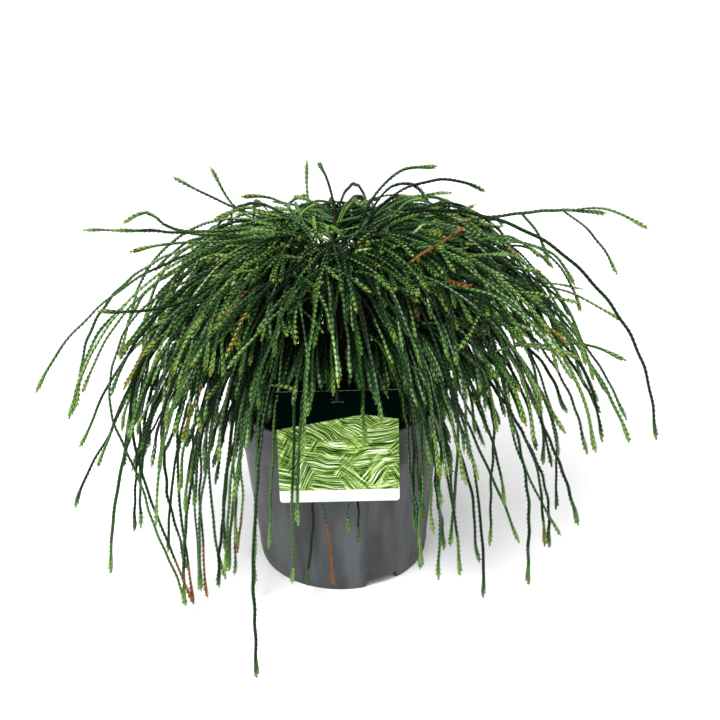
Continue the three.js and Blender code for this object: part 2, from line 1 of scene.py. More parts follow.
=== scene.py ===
"""Dressed scene of a potted whipcord western red cedar.

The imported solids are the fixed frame, in metres, with the pot on z = 0, its axis on the
origin and the picture card at the front, which is -Y. Azimuths are degrees from the front
towards +X. The crown grows here by the same seeded rule as its solids and goes on to
finer cords in the spaces that the foliage masses keep. Sizes in the classes and tables are
millimetres, and angles are degrees.
"""

import logging
import math
from collections import defaultdict
from collections.abc import Sequence
from dataclasses import dataclass, field, replace
from enum import Enum

import bmesh
import bpy
import numpy as np
from mathutils import Matrix, Vector, noise


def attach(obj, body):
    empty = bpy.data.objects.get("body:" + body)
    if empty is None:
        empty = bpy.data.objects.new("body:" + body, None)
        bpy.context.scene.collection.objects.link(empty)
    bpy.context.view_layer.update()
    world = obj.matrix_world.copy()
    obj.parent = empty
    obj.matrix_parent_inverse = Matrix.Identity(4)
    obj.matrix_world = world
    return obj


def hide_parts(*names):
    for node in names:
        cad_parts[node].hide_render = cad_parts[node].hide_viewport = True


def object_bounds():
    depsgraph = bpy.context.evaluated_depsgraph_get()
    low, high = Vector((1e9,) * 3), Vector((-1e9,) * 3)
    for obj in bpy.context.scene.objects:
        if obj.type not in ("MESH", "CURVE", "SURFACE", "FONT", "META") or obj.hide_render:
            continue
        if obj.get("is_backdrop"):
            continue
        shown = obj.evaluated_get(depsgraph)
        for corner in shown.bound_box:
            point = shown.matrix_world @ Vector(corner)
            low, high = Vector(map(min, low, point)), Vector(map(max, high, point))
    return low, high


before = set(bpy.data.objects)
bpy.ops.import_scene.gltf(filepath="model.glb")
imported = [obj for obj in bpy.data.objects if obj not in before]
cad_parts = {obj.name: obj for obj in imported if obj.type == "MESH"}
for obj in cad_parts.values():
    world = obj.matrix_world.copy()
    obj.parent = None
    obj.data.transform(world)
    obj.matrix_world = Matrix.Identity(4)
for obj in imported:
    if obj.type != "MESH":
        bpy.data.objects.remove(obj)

LOG = logging.getLogger("potted_cedar")
MM = 0.001
# Gap between seated solids, and the sizes of the pot that other pieces keep to, in mm
SEAT = 0.3
POT_HEIGHT = 205.0
POT_RIM = 120.0
COLLAR_HEIGHT = 157.0
BODY_TOP = 109.5
BODY = "root"
Point = tuple[float, float, float]
Material = bpy.types.Material
Node = bpy.types.Node
Piece = bpy.types.Object
Socket = bpy.types.NodeSocket
Tree = bpy.types.NodeTree
Arrays = tuple[np.ndarray, np.ndarray]


# Colour and shader helpers


def linear(code: str) -> tuple[float, float, float, float]:
    """Turns an sRGB hex colour into linear light.

    Args:
        code: Colour such as "#63666a".

    Returns:
        Red, green, blue and alpha for a shader socket.
    """
    parts = [int(code[i : i + 2], 16) / 255 for i in (1, 3, 5)]
    light = [p / 12.92 if p <= 0.04045 else ((p + 0.055) / 1.055) ** 2.4 for p in parts]
    return (light[0], light[1], light[2], 1.0)


def output_of(source: Node | Socket) -> Socket:
    """Returns a socket itself, or the first output of a node."""
    return source.outputs[0] if isinstance(source, Node) else source


def add_node(
    tree: Tree,
    kind: str,
    settings: dict[str | int, object] | None = None,
    links: dict[str | int, Node | Socket] | None = None,
) -> Node:
    """Adds one shader node with its settings and links.

    Args:
        tree: Node tree of a material or world.
        kind: Type name of the node after its common first part.
        settings: Values for inputs, by name or index, or for properties of the node. The
            positions and hex colours of a ramp are its "stops".
        links: What feeds inputs, by name or index: a socket, or a node's first output.

    Returns:
        The new node.
    """
    node = tree.nodes.new(f"ShaderNode{kind}")
    for key, value in (settings or {}).items():
        if key == "stops":
            band = node.color_ramp.elements
            while len(band) < len(value):
                band.new(0.5)
            for element, (place, code) in zip(band, value):
                element.position = place
                element.color = linear(code)
        elif isinstance(key, int) or key in node.inputs:
            node.inputs[key].default_value = value
        else:
            setattr(node, key, value)
    for key, source in (links or {}).items():
        tree.links.new(output_of(source), node.inputs[key])
    return node


def new_material(name: str, values: dict[str, object]) -> Material:
    """Makes a material with one Principled shader.

    Args:
        name: Name of the real material.
        values: Values set on the shader's own sockets.

    Returns:
        The material, whose tree holds only the shader and the output.
    """
    material = bpy.data.materials.new(name)
    material.use_nodes = True
    tree = material.node_tree
    tree.nodes.clear()
    shader = add_node(tree, "BsdfPrincipled", values)
    shader.name = "surface"
    add_node(tree, "OutputMaterial", links={"Surface": shader})
    return material


def feed(material: Material, name: str, source: Node | Socket) -> None:
    """Links a node or a socket into the named input of a material's shader."""
    tree = material.node_tree
    tree.links.new(output_of(source), tree.nodes["surface"].inputs[name])


# Mesh helpers


def deselect_all() -> None:
    """Leaves edit mode and deselects every object."""
    if bpy.context.mode != "OBJECT":
        bpy.ops.object.mode_set(mode="OBJECT")
    bpy.ops.object.select_all(action="DESELECT")


def make_active(piece: Piece) -> None:
    """Selects one object alone and makes it the active one.

    Args:
        piece: The object.
    """
    deselect_all()
    piece.select_set(True)
    bpy.context.view_layer.objects.active = piece


def smooth_shade(piece: Piece, degrees: float) -> None:
    """Shades a piece smooth but for edges sharper than an angle."""
    make_active(piece)
    bpy.ops.object.shade_smooth_by_angle(angle=math.radians(degrees))


def circle(height: float, radius: float, count: int) -> np.ndarray:
    """Returns the corners, in metres, of a level circle that is given in millimetres."""
    turn = np.arange(count) * (2 * math.pi / count)
    return np.stack([np.cos(turn) * radius, np.sin(turn) * radius, np.full(count, height)], 1) * MM


def ringed_form(name: str, rings: Sequence[np.ndarray]) -> Piece:
    """Extrudes a closed form ring by ring, in edit mode.

    Args:
        name: Name of the piece.
        rings: Corner places of each ring, in metres, from the first end to the last.

    Returns:
        The closed piece, its faces outwards.
    """
    deselect_all()
    count = len(rings[0])
    bpy.ops.mesh.primitive_circle_add(vertices=count, radius=1, fill_type="NOTHING")
    piece = bpy.context.active_object
    piece.name = name
    piece.data.name = name
    piece.data.vertices.foreach_set("co", rings[0].astype(np.float32).ravel())
    piece.data.update()
    bpy.ops.object.mode_set(mode="EDIT")
    bpy.ops.mesh.select_all(action="SELECT")
    for before, ring in zip(rings, rings[1:]):
        bpy.ops.mesh.extrude_edges_move()
        form = bmesh.from_edit_mesh(piece.data)
        for corner in form.verts:
            if corner.select:
                gap = np.abs(before - np.array(corner.co)).sum(axis=1)
                corner.co = ring[int(gap.argmin())]
        bmesh.update_edit_mesh(piece.data)
    bpy.ops.mesh.edge_face_add()
    bpy.ops.mesh.select_all(action="DESELECT")
    form = bmesh.from_edit_mesh(piece.data)
    form.verts.ensure_lookup_table()
    for corner in form.verts[:count]:
        corner.select = True
    form.select_flush(True)
    bmesh.update_edit_mesh(piece.data)
    bpy.ops.mesh.edge_face_add()
    bpy.ops.mesh.select_all(action="SELECT")
    bpy.ops.mesh.normals_make_consistent(inside=False)
    bpy.ops.object.mode_set(mode="OBJECT")
    return piece


def mesh_of_arrays(name: str, points: np.ndarray, triangles: np.ndarray) -> Piece:
    """Makes one joined mesh from arrays.

    Args:
        name: Name of the piece.
        points: Corner places in metres, one row each.
        triangles: Rows of three corner indices.

    Returns:
        The piece, linked to the scene.
    """
    mesh = bpy.data.meshes.new(name)
    mesh.vertices.add(len(points))
    mesh.vertices.foreach_set("co", points.astype(np.float32).ravel())
    mesh.loops.add(triangles.size)
    mesh.loops.foreach_set("vertex_index", triangles.astype(np.int32).ravel())
    mesh.polygons.add(len(triangles))
    starts = np.arange(0, triangles.size, 3, dtype=np.int32)
    mesh.polygons.foreach_set("loop_start", starts)
    mesh.update(calc_edges=True)
    mesh.validate()
    piece = bpy.data.objects.new(name, mesh)
    bpy.context.scene.collection.objects.link(piece)
    return piece


def settle(piece: Piece, material: Material, nodes: Sequence[str] = ()) -> None:
    """Dresses a finished piece and ties it to the frame.

    Args:
        piece: Finished object with its place in its mesh.
        material: Finish for the whole piece.
        nodes: Solids that the piece stands for.
    """
    piece.data.materials.clear()
    piece.data.materials.append(material)
    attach(piece, BODY)
    if nodes:
        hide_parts(*nodes)
    LOG.info("%s: %d faces", piece.name, len(piece.data.polygons))


def smooth_path(path: np.ndarray, spacing: float, passes: int = 0) -> np.ndarray:
    """Draws a smooth line through the points of a path.

    Args:
        path: Points in millimetres.
        spacing: Distance between the points returned.
        passes: How often the corners are eased first.

    Returns:
        Evenly spaced points in millimetres.
    """
    points = np.array(path, float)
    for _ in range(passes):
        points[1:-1] = points[1:-1] * 0.5 + (points[:-2] + points[2:]) * 0.25
    ends = [2 * points[0] - points[1], *points, 2 * points[-1] - points[-2]]
    rows = np.array(ends)
    t = np.linspace(0, 1, 8, endpoint=False)[:, None, None]
    p0, p1, p2, p3 = rows[:-3], rows[1:-2], rows[2:-1], rows[3:]
    curve = 0.5 * (
        2 * p1 + (p2 - p0) * t + (2 * p0 - 5 * p1 + 4 * p2 - p3) * t**2
        + (3 * p1 - p0 - 3 * p2 + p3) * t**3
    )
    line = np.concatenate([curve.transpose(1, 0, 2).reshape(-1, 3), points[-1:]])
    reach = np.concatenate([[0], np.cumsum(np.linalg.norm(np.diff(line, axis=0), axis=1))])
    count = max(3, int(round(reach[-1] / spacing)) + 1)
    stops = np.linspace(0, reach[-1], count)
    return np.stack([np.interp(stops, reach, line[:, axis]) for axis in range(3)], axis=1)


# Finishes


@dataclass(frozen=True)
class PotPlastic:
    """Blow-moulded grey polypropylene: satin, with soft darker and paler upright streaks and fine
    scuffs.
    """

    shade: str = "#16181a"
    body: str = "#2e3134"
    pale_grey: str = "#44474a"
    roughness: float = 0.52
    streak_mm: float = 26.0
    streak_upright: float = 0.13
    scuff_mm: float = 1.6
    scuff_upright: float = 0.4
    scuff_depth_mm: float = 0.12

    def material(self) -> Material:
        """Makes the plastic, with upright streaks from a stretched noise.

        Returns:
            The material.
        """
        material = new_material("moulded_polypropylene", {"Roughness": self.roughness, "IOR": 1.49})
        tree = material.node_tree
        place = add_node(tree, "TexCoord").outputs["Object"]
        noises = []
        for size, upright, detail in (
            (self.streak_mm, self.streak_upright, 3.0),
            (self.scuff_mm, self.scuff_upright, 2.0),
        ):
            tall = add_node(tree, "Mapping", {"Scale": (1, 1, upright)}, {"Vector": place})
            grain = {"Scale": 1 / (size * MM), "Detail": detail}
            noises.append(add_node(tree, "TexNoise", grain, {"Vector": tall}))
        streak, scuff = noises
        # Darker and paler upright streaks from noise, spread over the whole wall
        stops = [(0.37, self.shade), (0.49, self.body), (0.62, self.pale_grey)]
        feed(material, "Base Color", add_node(tree, "ValToRGB", {"stops": stops}, {"Fac": streak}))
        spread = {"To Min": self.roughness - 0.1, "To Max": self.roughness + 0.14}
        feed(material, "Roughness", add_node(tree, "MapRange", spread, {"Value": streak}))
        relief = {"Strength": 0.35, "Distance": self.scuff_depth_mm * MM}
        feed(material, "Normal", add_node(tree, "Bump", relief, {"Height": scuff}))
        return material


@dataclass(frozen=True)
class MixFinish:
    """Damp composted bark and peat: matt crumbs in dark browns."""

    dark: str = "#1d130e"
    brown: str = "#3e2a1e"
    red: str = "#5b3a26"
    crumb_mm: float = 5.0
    crumb_depth_mm: float = 1.5

    def material(self) -> Material:
        """Makes the mix, with crumbs of several browns.

        Returns:
            The material.
        """
        material = new_material("composted_bark", {"Roughness": 0.95, "Specular IOR Level": 0.1})
        tree = material.node_tree
        place = add_node(tree, "TexCoord").outputs["Object"]
        grain = {"Scale": 1 / (self.crumb_mm * MM)}
        crumbs = add_node(tree, "TexVoronoi", grain, {"Vector": place})
        value = add_node(tree, "SeparateColor", links={"Color": crumbs.outputs["Color"]})
        stops = [(0.1, self.dark), (0.55, self.brown), (0.95, self.red)]
        feed(material, "Base Color", add_node(tree, "ValToRGB", {"stops": stops}, {"Fac": value}))
        relief = {"Strength": 0.8, "Distance": self.crumb_depth_mm * MM}
        feed(material, "Normal", add_node(tree, "Bump", relief, {"Height": crumbs}))
        return material


@dataclass(frozen=True)
class PlainFinish:
    """One plain colour for many small joined shapes, dealt out by cord or by chip."""

    name: str
    colour: str
    roughness: float = 0.6
    shine: float = 0.5

    def values(self) -> dict[str, object]:
        """Returns the values of the shader's own sockets."""
        levels = {"Roughness": self.roughness, "Specular IOR Level": self.shine}
        return {"Base Color": linear(self.colour), **levels}

    def material(self) -> Material:
        """Returns the plain material."""
        return new_material(self.name, self.values())


@dataclass(frozen=True)
class BarkFinish:
    """Young fibrous cedar bark: red-brown strips over darker furrows."""

    name: str = "fibrous_bark"
    furrow: str = "#0f0a07"
    strip: str = "#2a1c13"
    strip_mm: float = 2.4
    strip_upright: float = 0.25
    strip_depth_mm: float = 0.5

    def material(self) -> Material:
        """Makes the bark, whose strips are drawn out along the limb.

        Returns:
            The material.
        """
        material = new_material(self.name, {"Roughness": 0.88, "Specular IOR Level": 0.15})
        tree = material.node_tree
        place = add_node(tree, "TexCoord").outputs["Object"]
        stretch = {"Scale": (1, 1, self.strip_upright)}
        tall = add_node(tree, "Mapping", stretch, {"Vector": place})
        grain = {"Scale": 1 / (self.strip_mm * MM), "Detail": 4.0, "Distortion": 0.6}
        fibre = add_node(tree, "TexNoise", grain, {"Vector": tall})
        stops = [(0.35, self.furrow), (0.62, self.strip)]
        feed(material, "Base Color", add_node(tree, "ValToRGB", {"stops": stops}, {"Fac": fibre}))
        relief = {"Strength": 0.7, "Distance": self.strip_depth_mm * MM}
        feed(material, "Normal", add_node(tree, "Bump", relief, {"Height": fibre}))
        return material


@dataclass(frozen=True)
class StrapRubber(PlainFinish):
    """Soft dark polyethylene strap, slightly shiny, with faint ribs across it."""

    name: str = "polyethylene_strap"
    colour: str = "#0c0f0e"
    roughness: float = 0.5
    shine: float = 0.12
    rib_mm: float = 1.2
    rib_depth_mm: float = 0.15

    def material(self) -> Material:
        """Makes the strap.

        Returns:
            The material.
        """
        material = new_material(self.name, self.values())
        tree = material.node_tree
        place = add_node(tree, "TexCoord").outputs["Object"]
        weave = {"Scale": 1 / (self.rib_mm * MM) / 20, "bands_direction": "Y"}
        ribs = add_node(tree, "TexWave", weave, {"Vector": place})
        relief = {"Strength": 0.4, "Distance": self.rib_depth_mm * MM}
        feed(material, "Normal", add_node(tree, "Bump", relief, {"Height": ribs.outputs["Fac"]}))
        return material


@dataclass(frozen=True)
class CardPrint:
    """Printed polystyrene card: a dark band, a field of arching strokes, a pale foot."""

    band: str = "#010805"
    foot: str = "#ccd0c8"
    back: str = "#c6c9c3"
    strokes: tuple[str, ...] = ("#0b1a10", "#28481f", "#5e8434", "#a6bd62", "#eef2e6")
    stroke_stops: tuple[float, ...] = (0.365, 0.445, 0.51, 0.575, 0.65)
    lean: float = 9.0
    above: float = 53.0
    below: float = 67.0
    thick: float = 0.8
    half_width: float = 61.5
    band_left: float = 12.8
    band_peak: float = 27.4
    band_right: float = 21.8
    peak_across: float = 26.3
    foot_top: float = -54.0
    back_from: float = -0.5
    stroke_mm: float = 1.3
    stroke_length_mm: float = 38.0
    fans: tuple[tuple[Point, float], ...] = (
        ((-120.0, 0.0, -170.0), 1.0),
        ((150.0, 0.0, -120.0), 0.8),
        ((30.0, 0.0, 190.0), 0.9),
    )
    patches_per_mm: tuple[float, ...] = (0.022, 0.034)
    sways_per_mm: float = 0.028
    sway_mm: float = 16.0

    def card_place(self, tree: Tree) -> Node:
        """Adds coordinates in the plane of the card, in millimetres: across, back and up.

        Args:
            tree: Node tree of the card.

        Returns:
            The node that gives them.
        """
        turn = math.radians(self.lean)
        contact = (-POT_RIM - SEAT, POT_HEIGHT)
        back = contact[0] * math.cos(turn) - contact[1] * math.sin(turn)
        up = contact[0] * math.sin(turn) + contact[1] * math.cos(turn)
        place = add_node(tree, "TexCoord").outputs["Object"]
        move = {"Scale": (1 / MM,) * 3, "Rotation": (turn, 0, 0), "Location": (0, -back, -up)}
        return add_node(tree, "Mapping", move, {"Vector": place})

    def fan(self, tree: Tree, place: Node, foot: Point, width: float) -> Node:
        """Adds loose strokes that arch round a far point.

        Args:
            tree: Node tree of the card.
            place: Card coordinates in millimetres.
            foot: Point that the strokes are drawn round.
            width: Width of a stroke in millimetres.

        Returns:
            The node that gives the strokes' strength from 0 to 1.
        """
        away = add_node(tree, "VectorMath", {"operation": "SUBTRACT", 1: foot}, {0: place})
        parts = add_node(tree, "SeparateXYZ", links={"Vector": away}).outputs
        reach = add_node(tree, "VectorMath", {"operation": "LENGTH"}, {0: away}).outputs["Value"]
        turn = add_node(tree, "Math", {"operation": "ARCTAN2"}, {0: parts["Z"], 1: parts["X"]})
        per_turn = math.hypot(foot[0], foot[2]) / self.stroke_length_mm
        across = add_node(tree, "Math", {"operation": "MULTIPLY", 1: 1 / width}, {0: reach})
        along = add_node(tree, "Math", {"operation": "MULTIPLY", 1: per_turn}, {0: turn})
        drawn = add_node(tree, "CombineXYZ", links={"X": across, "Y": along})
        loose = {"Scale": 1.0, "Detail": 2.5, "Roughness": 0.6, "Distortion": 0.8}
        return add_node(tree, "TexNoise", loose, {"Vector": drawn})

    def picture(self, tree: Tree, place: Node) -> Node:
        """Adds a field of crossing strokes in patches.

        Args:
            tree: Node tree of the card.
            place: Card coordinates in millimetres.

        Returns:
            The node that gives its colour.
        """
        slow = {"Scale": self.sways_per_mm, "Detail": 1.0}
        sway = add_node(tree, "TexNoise", slow, {"Vector": place}).outputs["Color"]
        move = {"operation": "MULTIPLY_ADD", 1: (self.sway_mm,) * 3}
        swayed = add_node(tree, "VectorMath", move, {0: sway, 2: place})
        weave, *others = [
            self.fan(tree, swayed, foot, self.stroke_mm * share) for foot, share in self.fans
        ]
        for fan, per_mm in zip(others, self.patches_per_mm):
            broad = {"Scale": per_mm, "Detail": 3.0}
            patches = add_node(tree, "TexNoise", broad, {"Vector": place})
            edge = {"From Min": 0.46, "From Max": 0.56}
            mask = add_node(tree, "MapRange", edge, {"Value": patches})
            weave = add_node(tree, "Mix", {"data_type": "FLOAT"}, {0: mask, 2: weave, 3: fan})
        stops = list(zip(self.stroke_stops, self.strokes))
        return add_node(tree, "ValToRGB", {"stops": stops}, {"Fac": weave})

    def material(self) -> Material:
        """Makes the print, laid out in the plane of the card.

        Returns:
            The material.
        """
        matt = {"Roughness": 0.5, "Specular IOR Level": 0.0}
        material = new_material("printed_polystyrene", matt)
        tree = material.node_tree
        place = self.card_place(tree)
        axes = add_node(tree, "SeparateXYZ", links={"Vector": place}).outputs
        slopes = (
            (-self.half_width, self.peak_across, self.band_left, self.band_peak),
            (self.peak_across, self.half_width, 0.0, self.band_right - self.band_peak),
        )
        rises = []
        for start, end, low, high in slopes:
            span = {"From Min": start, "From Max": end, "To Min": low, "To Max": high}
            rises.append(add_node(tree, "MapRange", span, {"Value": axes["X"]}))
        edge = add_node(tree, "Math", {"operation": "ADD"}, dict(enumerate(rises)))
        zones = (
            ({"operation": "GREATER_THAN"}, {0: axes["Z"], 1: edge}, self.band),
            ({"operation": "LESS_THAN", 1: self.foot_top}, {0: axes["Z"]}, self.foot),
            ({"operation": "GREATER_THAN", 1: self.back_from}, {0: axes["Y"]}, self.back),
        )
        colour = self.picture(tree, place).outputs[0]
        for settings, links, code in zones:
            mask = add_node(tree, "Math", settings, links)
            blend = {"data_type": "RGBA", 7: linear(code)}
            colour = add_node(tree, "Mix", blend, {0: mask, 6: colour}).outputs[2]
        feed(material, "Base Color", colour)
        return material


# Pot and potting mix


@dataclass
class NurseryPot:
    """Round nursery pot with a stepped collar, a rolled rim and three drainage notches."""

    height: float = POT_HEIGHT
    rim_radius: float = POT_RIM
    collar_radius: float = 116.0
    collar_height: float = COLLAR_HEIGHT
    body_top_radius: float = BODY_TOP
    base_radius: float = 95.8
    wall: float = 2.0
    floor: float = 3.0
    edge: float = 1.5
    ridge_height: float = 12.5
    ridge: float = 0.45
    ripple: float = 0.35
    ripples: int = 22
    sides: int = 176
    notch_azimuths: tuple[float, ...] = (25.4, 145.4, 265.4)
    notch_width: float = 42.0
    notch_height: float = 8.5
    notch_ramp: float = 9.0
    notch_inner: float = 77.0
    notch_roof: float = 2.0
    ramp_profile: tuple[tuple[float, float], ...] = (
        (1.0, 1.0), (0.78, 0.93), (0.5, 0.62), (0.3, 0.2), (0.12, 0.04),
    )
    smooth_below: float = 32.0
    finish: PotPlastic = field(default_factory=PotPlastic)

    def body_radius(self, height: float) -> float:
        """Returns the outer radius of the tapering body at a height."""
        share = (height - self.edge) / (self.collar_height - self.edge)
        return self.base_radius + (self.body_top_radius - self.base_radius) * share

    def profile(self) -> list[tuple[float, float]]:
        """Lays out the rings of the wall, up the outside and down the inside.

        Returns:
            Radius and height of each ring in millimetres.
        """
        base, body, collar = self.base_radius, self.body_top_radius, self.collar_radius
        rim, wall, step, top = self.rim_radius, self.wall, self.collar_height, self.height
        rings = [(base - self.edge, 0.0), (base - 0.4, 0.4), (base, self.edge)]
        rings.append((self.body_radius(6), 6.0))
        for over, out in ((-1.6, 0.0), (-0.5, 1.0), (0.5, 1.0), (1.6, 0.0)):
            height = self.ridge_height + over
            rings.append((self.body_radius(height) + self.ridge * out, height))
        for height in np.linspace(22, step - 8, 9):
            rings.append((self.body_radius(float(height)), float(height)))
        rings += [(body, step - 1.2), (body + 0.6, step), (collar - 1.8, step + 0.1)]
        rings += [(collar - 0.5, step + 0.7), (collar, step + 2.2)]
        for share in (0.25, 0.5, 0.75, 0.9):
            rings.append((collar + (rim - collar - 0.9) * share, step + (top - step) * share))
        rings += [(rim - 0.15, top - 3.2), (rim, top - 1.0), (rim - 0.5, top - 0.15)]
        rings += [(rim - 1.3, top), (rim - wall, top - 0.3), (rim - wall - 0.3, top - 2.0)]
        rings += [(collar - wall, step + wall), (body - wall, step + wall)]
        rings.append((base - wall, self.floor))
        return rings

    def wall_ring(self, radius: float, height: float, outside: bool) -> np.ndarray:
        """Lays out one ring of the wall, with the body's soft upright ripples.

        Args:
            radius: Radius in millimetres.
            height: Height in millimetres.
            outside: True for a ring of the outer wall.

        Returns:
            Corner places in metres.
        """
        ring = circle(height, radius, self.sides)
        if outside and self.ridge_height + 4 < height < self.collar_height - 4:
            fade = math.sin(math.pi * (height - 16) / (self.collar_height - 20)) ** 0.5
            turn = np.arctan2(ring[:, 1], ring[:, 0])
            wave = np.sin(turn * self.ripples) + 0.6 * np.sin(turn * 9 + 1.3 + height / 60)
            ring[:, :2] *= (1 + self.ripple * fade * wave / radius)[:, None]
        return ring

    def notch_tool(self, azimuth: float, grow: float, top: float) -> Piece:
        """Makes a cutter for one notch.

        Args:
            azimuth: Place of the notch round the foot, in degrees from the front.
            grow: Amount by which the cutter is wider than the notch.
            top: Height of the cutter.

        Returns:
            The cutter, turned to its place.
        """
        half = self.notch_width / 2 + grow
        outline = [(-half, -self.floor), (half, -self.floor), (half, top)]
        for share, rise in self.ramp_profile:
            outline.append((self.notch_ramp * share - half, top * rise))
        outline.append((-half, 0.0))
        ends = (grow - self.notch_inner, -self.rim_radius)
        rings = [np.array([(x, y, z) for x, z in outline]) * MM for y in ends]
        tool = ringed_form("notch_tool", rings)
        tool.data.transform(Matrix.Rotation(math.radians(azimuth), 4, "Z"))
        return tool

    def combine(self, pot: Piece, tool: Piece, how: str) -> None:
        """Joins or cuts a form with a tool, which is then removed.

        Args:
            pot: Form that is changed.
            tool: Form that it is joined or cut with.
            how: Operation of the modifier.
        """
        modifier = pot.modifiers.new("step", "BOOLEAN")
        modifier.operation = how
        modifier.solver = "EXACT"
        modifier.object = tool
        make_active(pot)
        bpy.ops.object.modifier_apply(modifier=modifier.name)
        bpy.data.objects.remove(tool)

    def build(self) -> None:
        """Builds and dresses the pot."""
        profile = self.profile()
        top = max(range(len(profile)), key=lambda i: profile[i][1])
        rings = [self.wall_ring(r, z, i < top) for i, (r, z) in enumerate(profile)]
        pot = ringed_form("nursery_pot", rings)
        roof_top = self.notch_height + self.notch_roof
        inside = [circle(z, self.base_radius - 1, 64) for z in (0.2, roof_top + 1)]
        for azimuth in self.notch_azimuths:
            roof = self.notch_tool(azimuth, self.notch_roof, roof_top)
            self.combine(roof, ringed_form("notch_inside", inside), "INTERSECT")
            self.combine(pot, roof, "UNION")
            cut = self.notch_tool(azimuth, 0.0, self.notch_height)
            self.combine(pot, cut, "DIFFERENCE")
        smooth_shade(pot, self.smooth_below)
        settle(pot, self.finish.material(), ["pot"])


@dataclass
class PottingMix:
    """Potting mix that fills the pot, with loose bark chips on its top."""

    top: float = 193.0
    crown: float = 195.4
    radius: float = 116.0
    wall_rings: tuple[tuple[float, float], ...] = (
        (11.2, 93.8), (159.3, 106.9), (159.6, 113.4), (192.0, 116.3),
    )
    top_radii: tuple[float, ...] = (115.8, *range(110, 13, -8), 7)
    lumps: tuple[tuple[float, float], ...] = ((9.0, 1.6), (3.5, 0.9))
    trunk_clear: float = 12.0
    sides: int = 120
    smooth_below: float = 50.0
    chips: int = 500
    chip_reach: float = 113.0
    chip_halves: tuple[tuple[float, float], ...] = ((2.2, 7.5), (1.2, 3.2), (0.5, 1.1))
    chip_tilt: float = 0.28
    chip_chipped: float = 0.35
    chip_colours: tuple[tuple[str, str], ...] = (
        ("dark", "#1f150f"), ("brown", "#35241a"), ("red", "#664029"),
    )
    seed: int = 77
    finish: MixFinish = field(default_factory=MixFinish)

    def surface(self, radius: float) -> float:
        """Returns the height of the top of the mix at a radius."""
        return self.top + (self.crown - self.top) * (1 - (radius / self.radius) ** 2)

    def build_fill(self) -> None:
        """Builds the fill with an uneven crumbly top."""
        profile = [*self.wall_rings, *((self.surface(r), r) for r in self.top_radii)]
        fill = ringed_form("potting_fill", [circle(z, r, self.sides) for z, r in profile])
        for corner in fill.data.vertices:
            place = corner.co / MM
            radius = math.hypot(place.x, place.y)
            if place.z > self.top - 0.5 and radius < self.radius - 1:
                rough = sum(noise.noise(place / size) * rise for size, rise in self.lumps)
                corner.co.z += rough * MM * min(1.0, max(0.0, (radius - self.trunk_clear) / 10))
        smooth_shade(fill, self.smooth_below)
        settle(fill, self.finish.material(), ["potting_mix"])

    def chip_arrays(self, draws: np.random.Generator) -> Arrays:
        """Lays flat splinters of bark over the mix.

        Args:
            draws: Seeded source of random numbers.

        Returns:
            Corner places in metres and triangles.
        """
        box = np.array([(x, y, z) for z in (-1, 1) for y in (-1, 1) for x in (-1, 1)], float)
        faces = np.array(
            [
                (0, 2, 3), (0, 3, 1), (4, 5, 7), (4, 7, 6), (0, 1, 5), (0, 5, 4),
                (2, 6, 7), (2, 7, 3), (0, 4, 6), (0, 6, 2), (1, 3, 7), (1, 7, 5),
            ]
        )
        points = []
        triangles = []
        for i in range(self.chips):
            radius = self.chip_reach * math.sqrt(draws.uniform(0.025, 1))
            turn = draws.uniform(0, 2 * math.pi)
            half = np.array([draws.uniform(*span) for span in self.chip_halves])
            shape = box * half * (1 + self.chip_chipped * draws.uniform(-1, 1, box.shape))
            tilt = Matrix.Rotation(draws.uniform(0, 2 * math.pi), 3, "Z")
            for axis in "XY":
                tilt = tilt @ Matrix.Rotation(draws.normal(0, self.chip_tilt), 3, axis)
            shape = shape @ np.array(tilt).T
            rise = self.surface(radius) + draws.uniform(0.2, 1.8)
            shape += (radius * math.cos(turn), radius * math.sin(turn), rise)
            points.append(shape * MM)
            triangles.append(faces + 8 * i)
        return np.concatenate(points), np.concatenate(triangles)

    def build(self) -> None:
        """Builds the fill and its chips."""
        self.build_fill()
        draws = np.random.default_rng(self.seed)
        for name, colour in self.chip_colours:
            kind = PlainFinish(f"{name}_bark_chips", colour, 0.95, 0.1)
            piece = mesh_of_arrays(kind.name, *self.chip_arrays(draws))
            settle(piece, kind.material())


@dataclass
class CardAndTie:
    """Picture card that leans on the rim, and the strap that ties it to a bough."""

    print_finish: CardPrint = field(default_factory=CardPrint)
    strap: StrapRubber = field(default_factory=StrapRubber)

    def build(self) -> None:
        """Dresses the solids of the card and the tie, whose shapes are right."""
        finishes = {"picture_card": self.print_finish, "card_tie": self.strap}
        for name, finish in finishes.items():
            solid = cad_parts[name]
            solid.data.materials.clear()
            solid.data.materials.append(finish.material())
            LOG.info("%s dressed", name)


# Growth rule, in millimetres and degrees, the same as in the part's source


class Draws:
    """Seeded numbers between 0 and 1."""

    MASK = 0xFFFFFFFF

    def __init__(self, seed: int) -> None:
        """Starts the numbers from a seed."""
        self.state = seed & self.MASK

    def __call__(self) -> float:
        """Draws the next number.

        Returns:
            A number from 0 up to 1.
        """
        mask = self.MASK
        self.state = (self.state + 0x6D2B79F5) & mask
        mixed = ((self.state ^ (self.state >> 15)) * (self.state | 1)) & mask
        turned = ((mixed ^ (mixed >> 7)) * (mixed | 61)) & mask
        mixed = ((mixed + turned) ^ mixed) & mask
        return (mixed ^ (mixed >> 14)) / 4294967296


def direction(azimuth: float, lift: float) -> Point:
    """Returns the unit direction of an azimuth and a rise above level."""
    turn, rise = math.radians(azimuth) - math.pi / 2, math.radians(lift)
    return (math.cos(rise) * math.cos(turn), math.cos(rise) * math.sin(turn), math.sin(rise))


def stepped(start: Point, heading: Point, step: float) -> Point:
    """Returns the point a step away from a start."""
    return tuple(place + part * step for place, part in zip(start, heading))


def azimuth_of(point: Sequence[float]) -> float:
    """Returns the azimuth of a point or direction."""
    return math.degrees(math.atan2(point[0], -point[1]))


def turn_between(a: float, b: float) -> float:
    """Returns the shortest turn from azimuth b to azimuth a."""
    return (a - b + 180) % 360 - 180


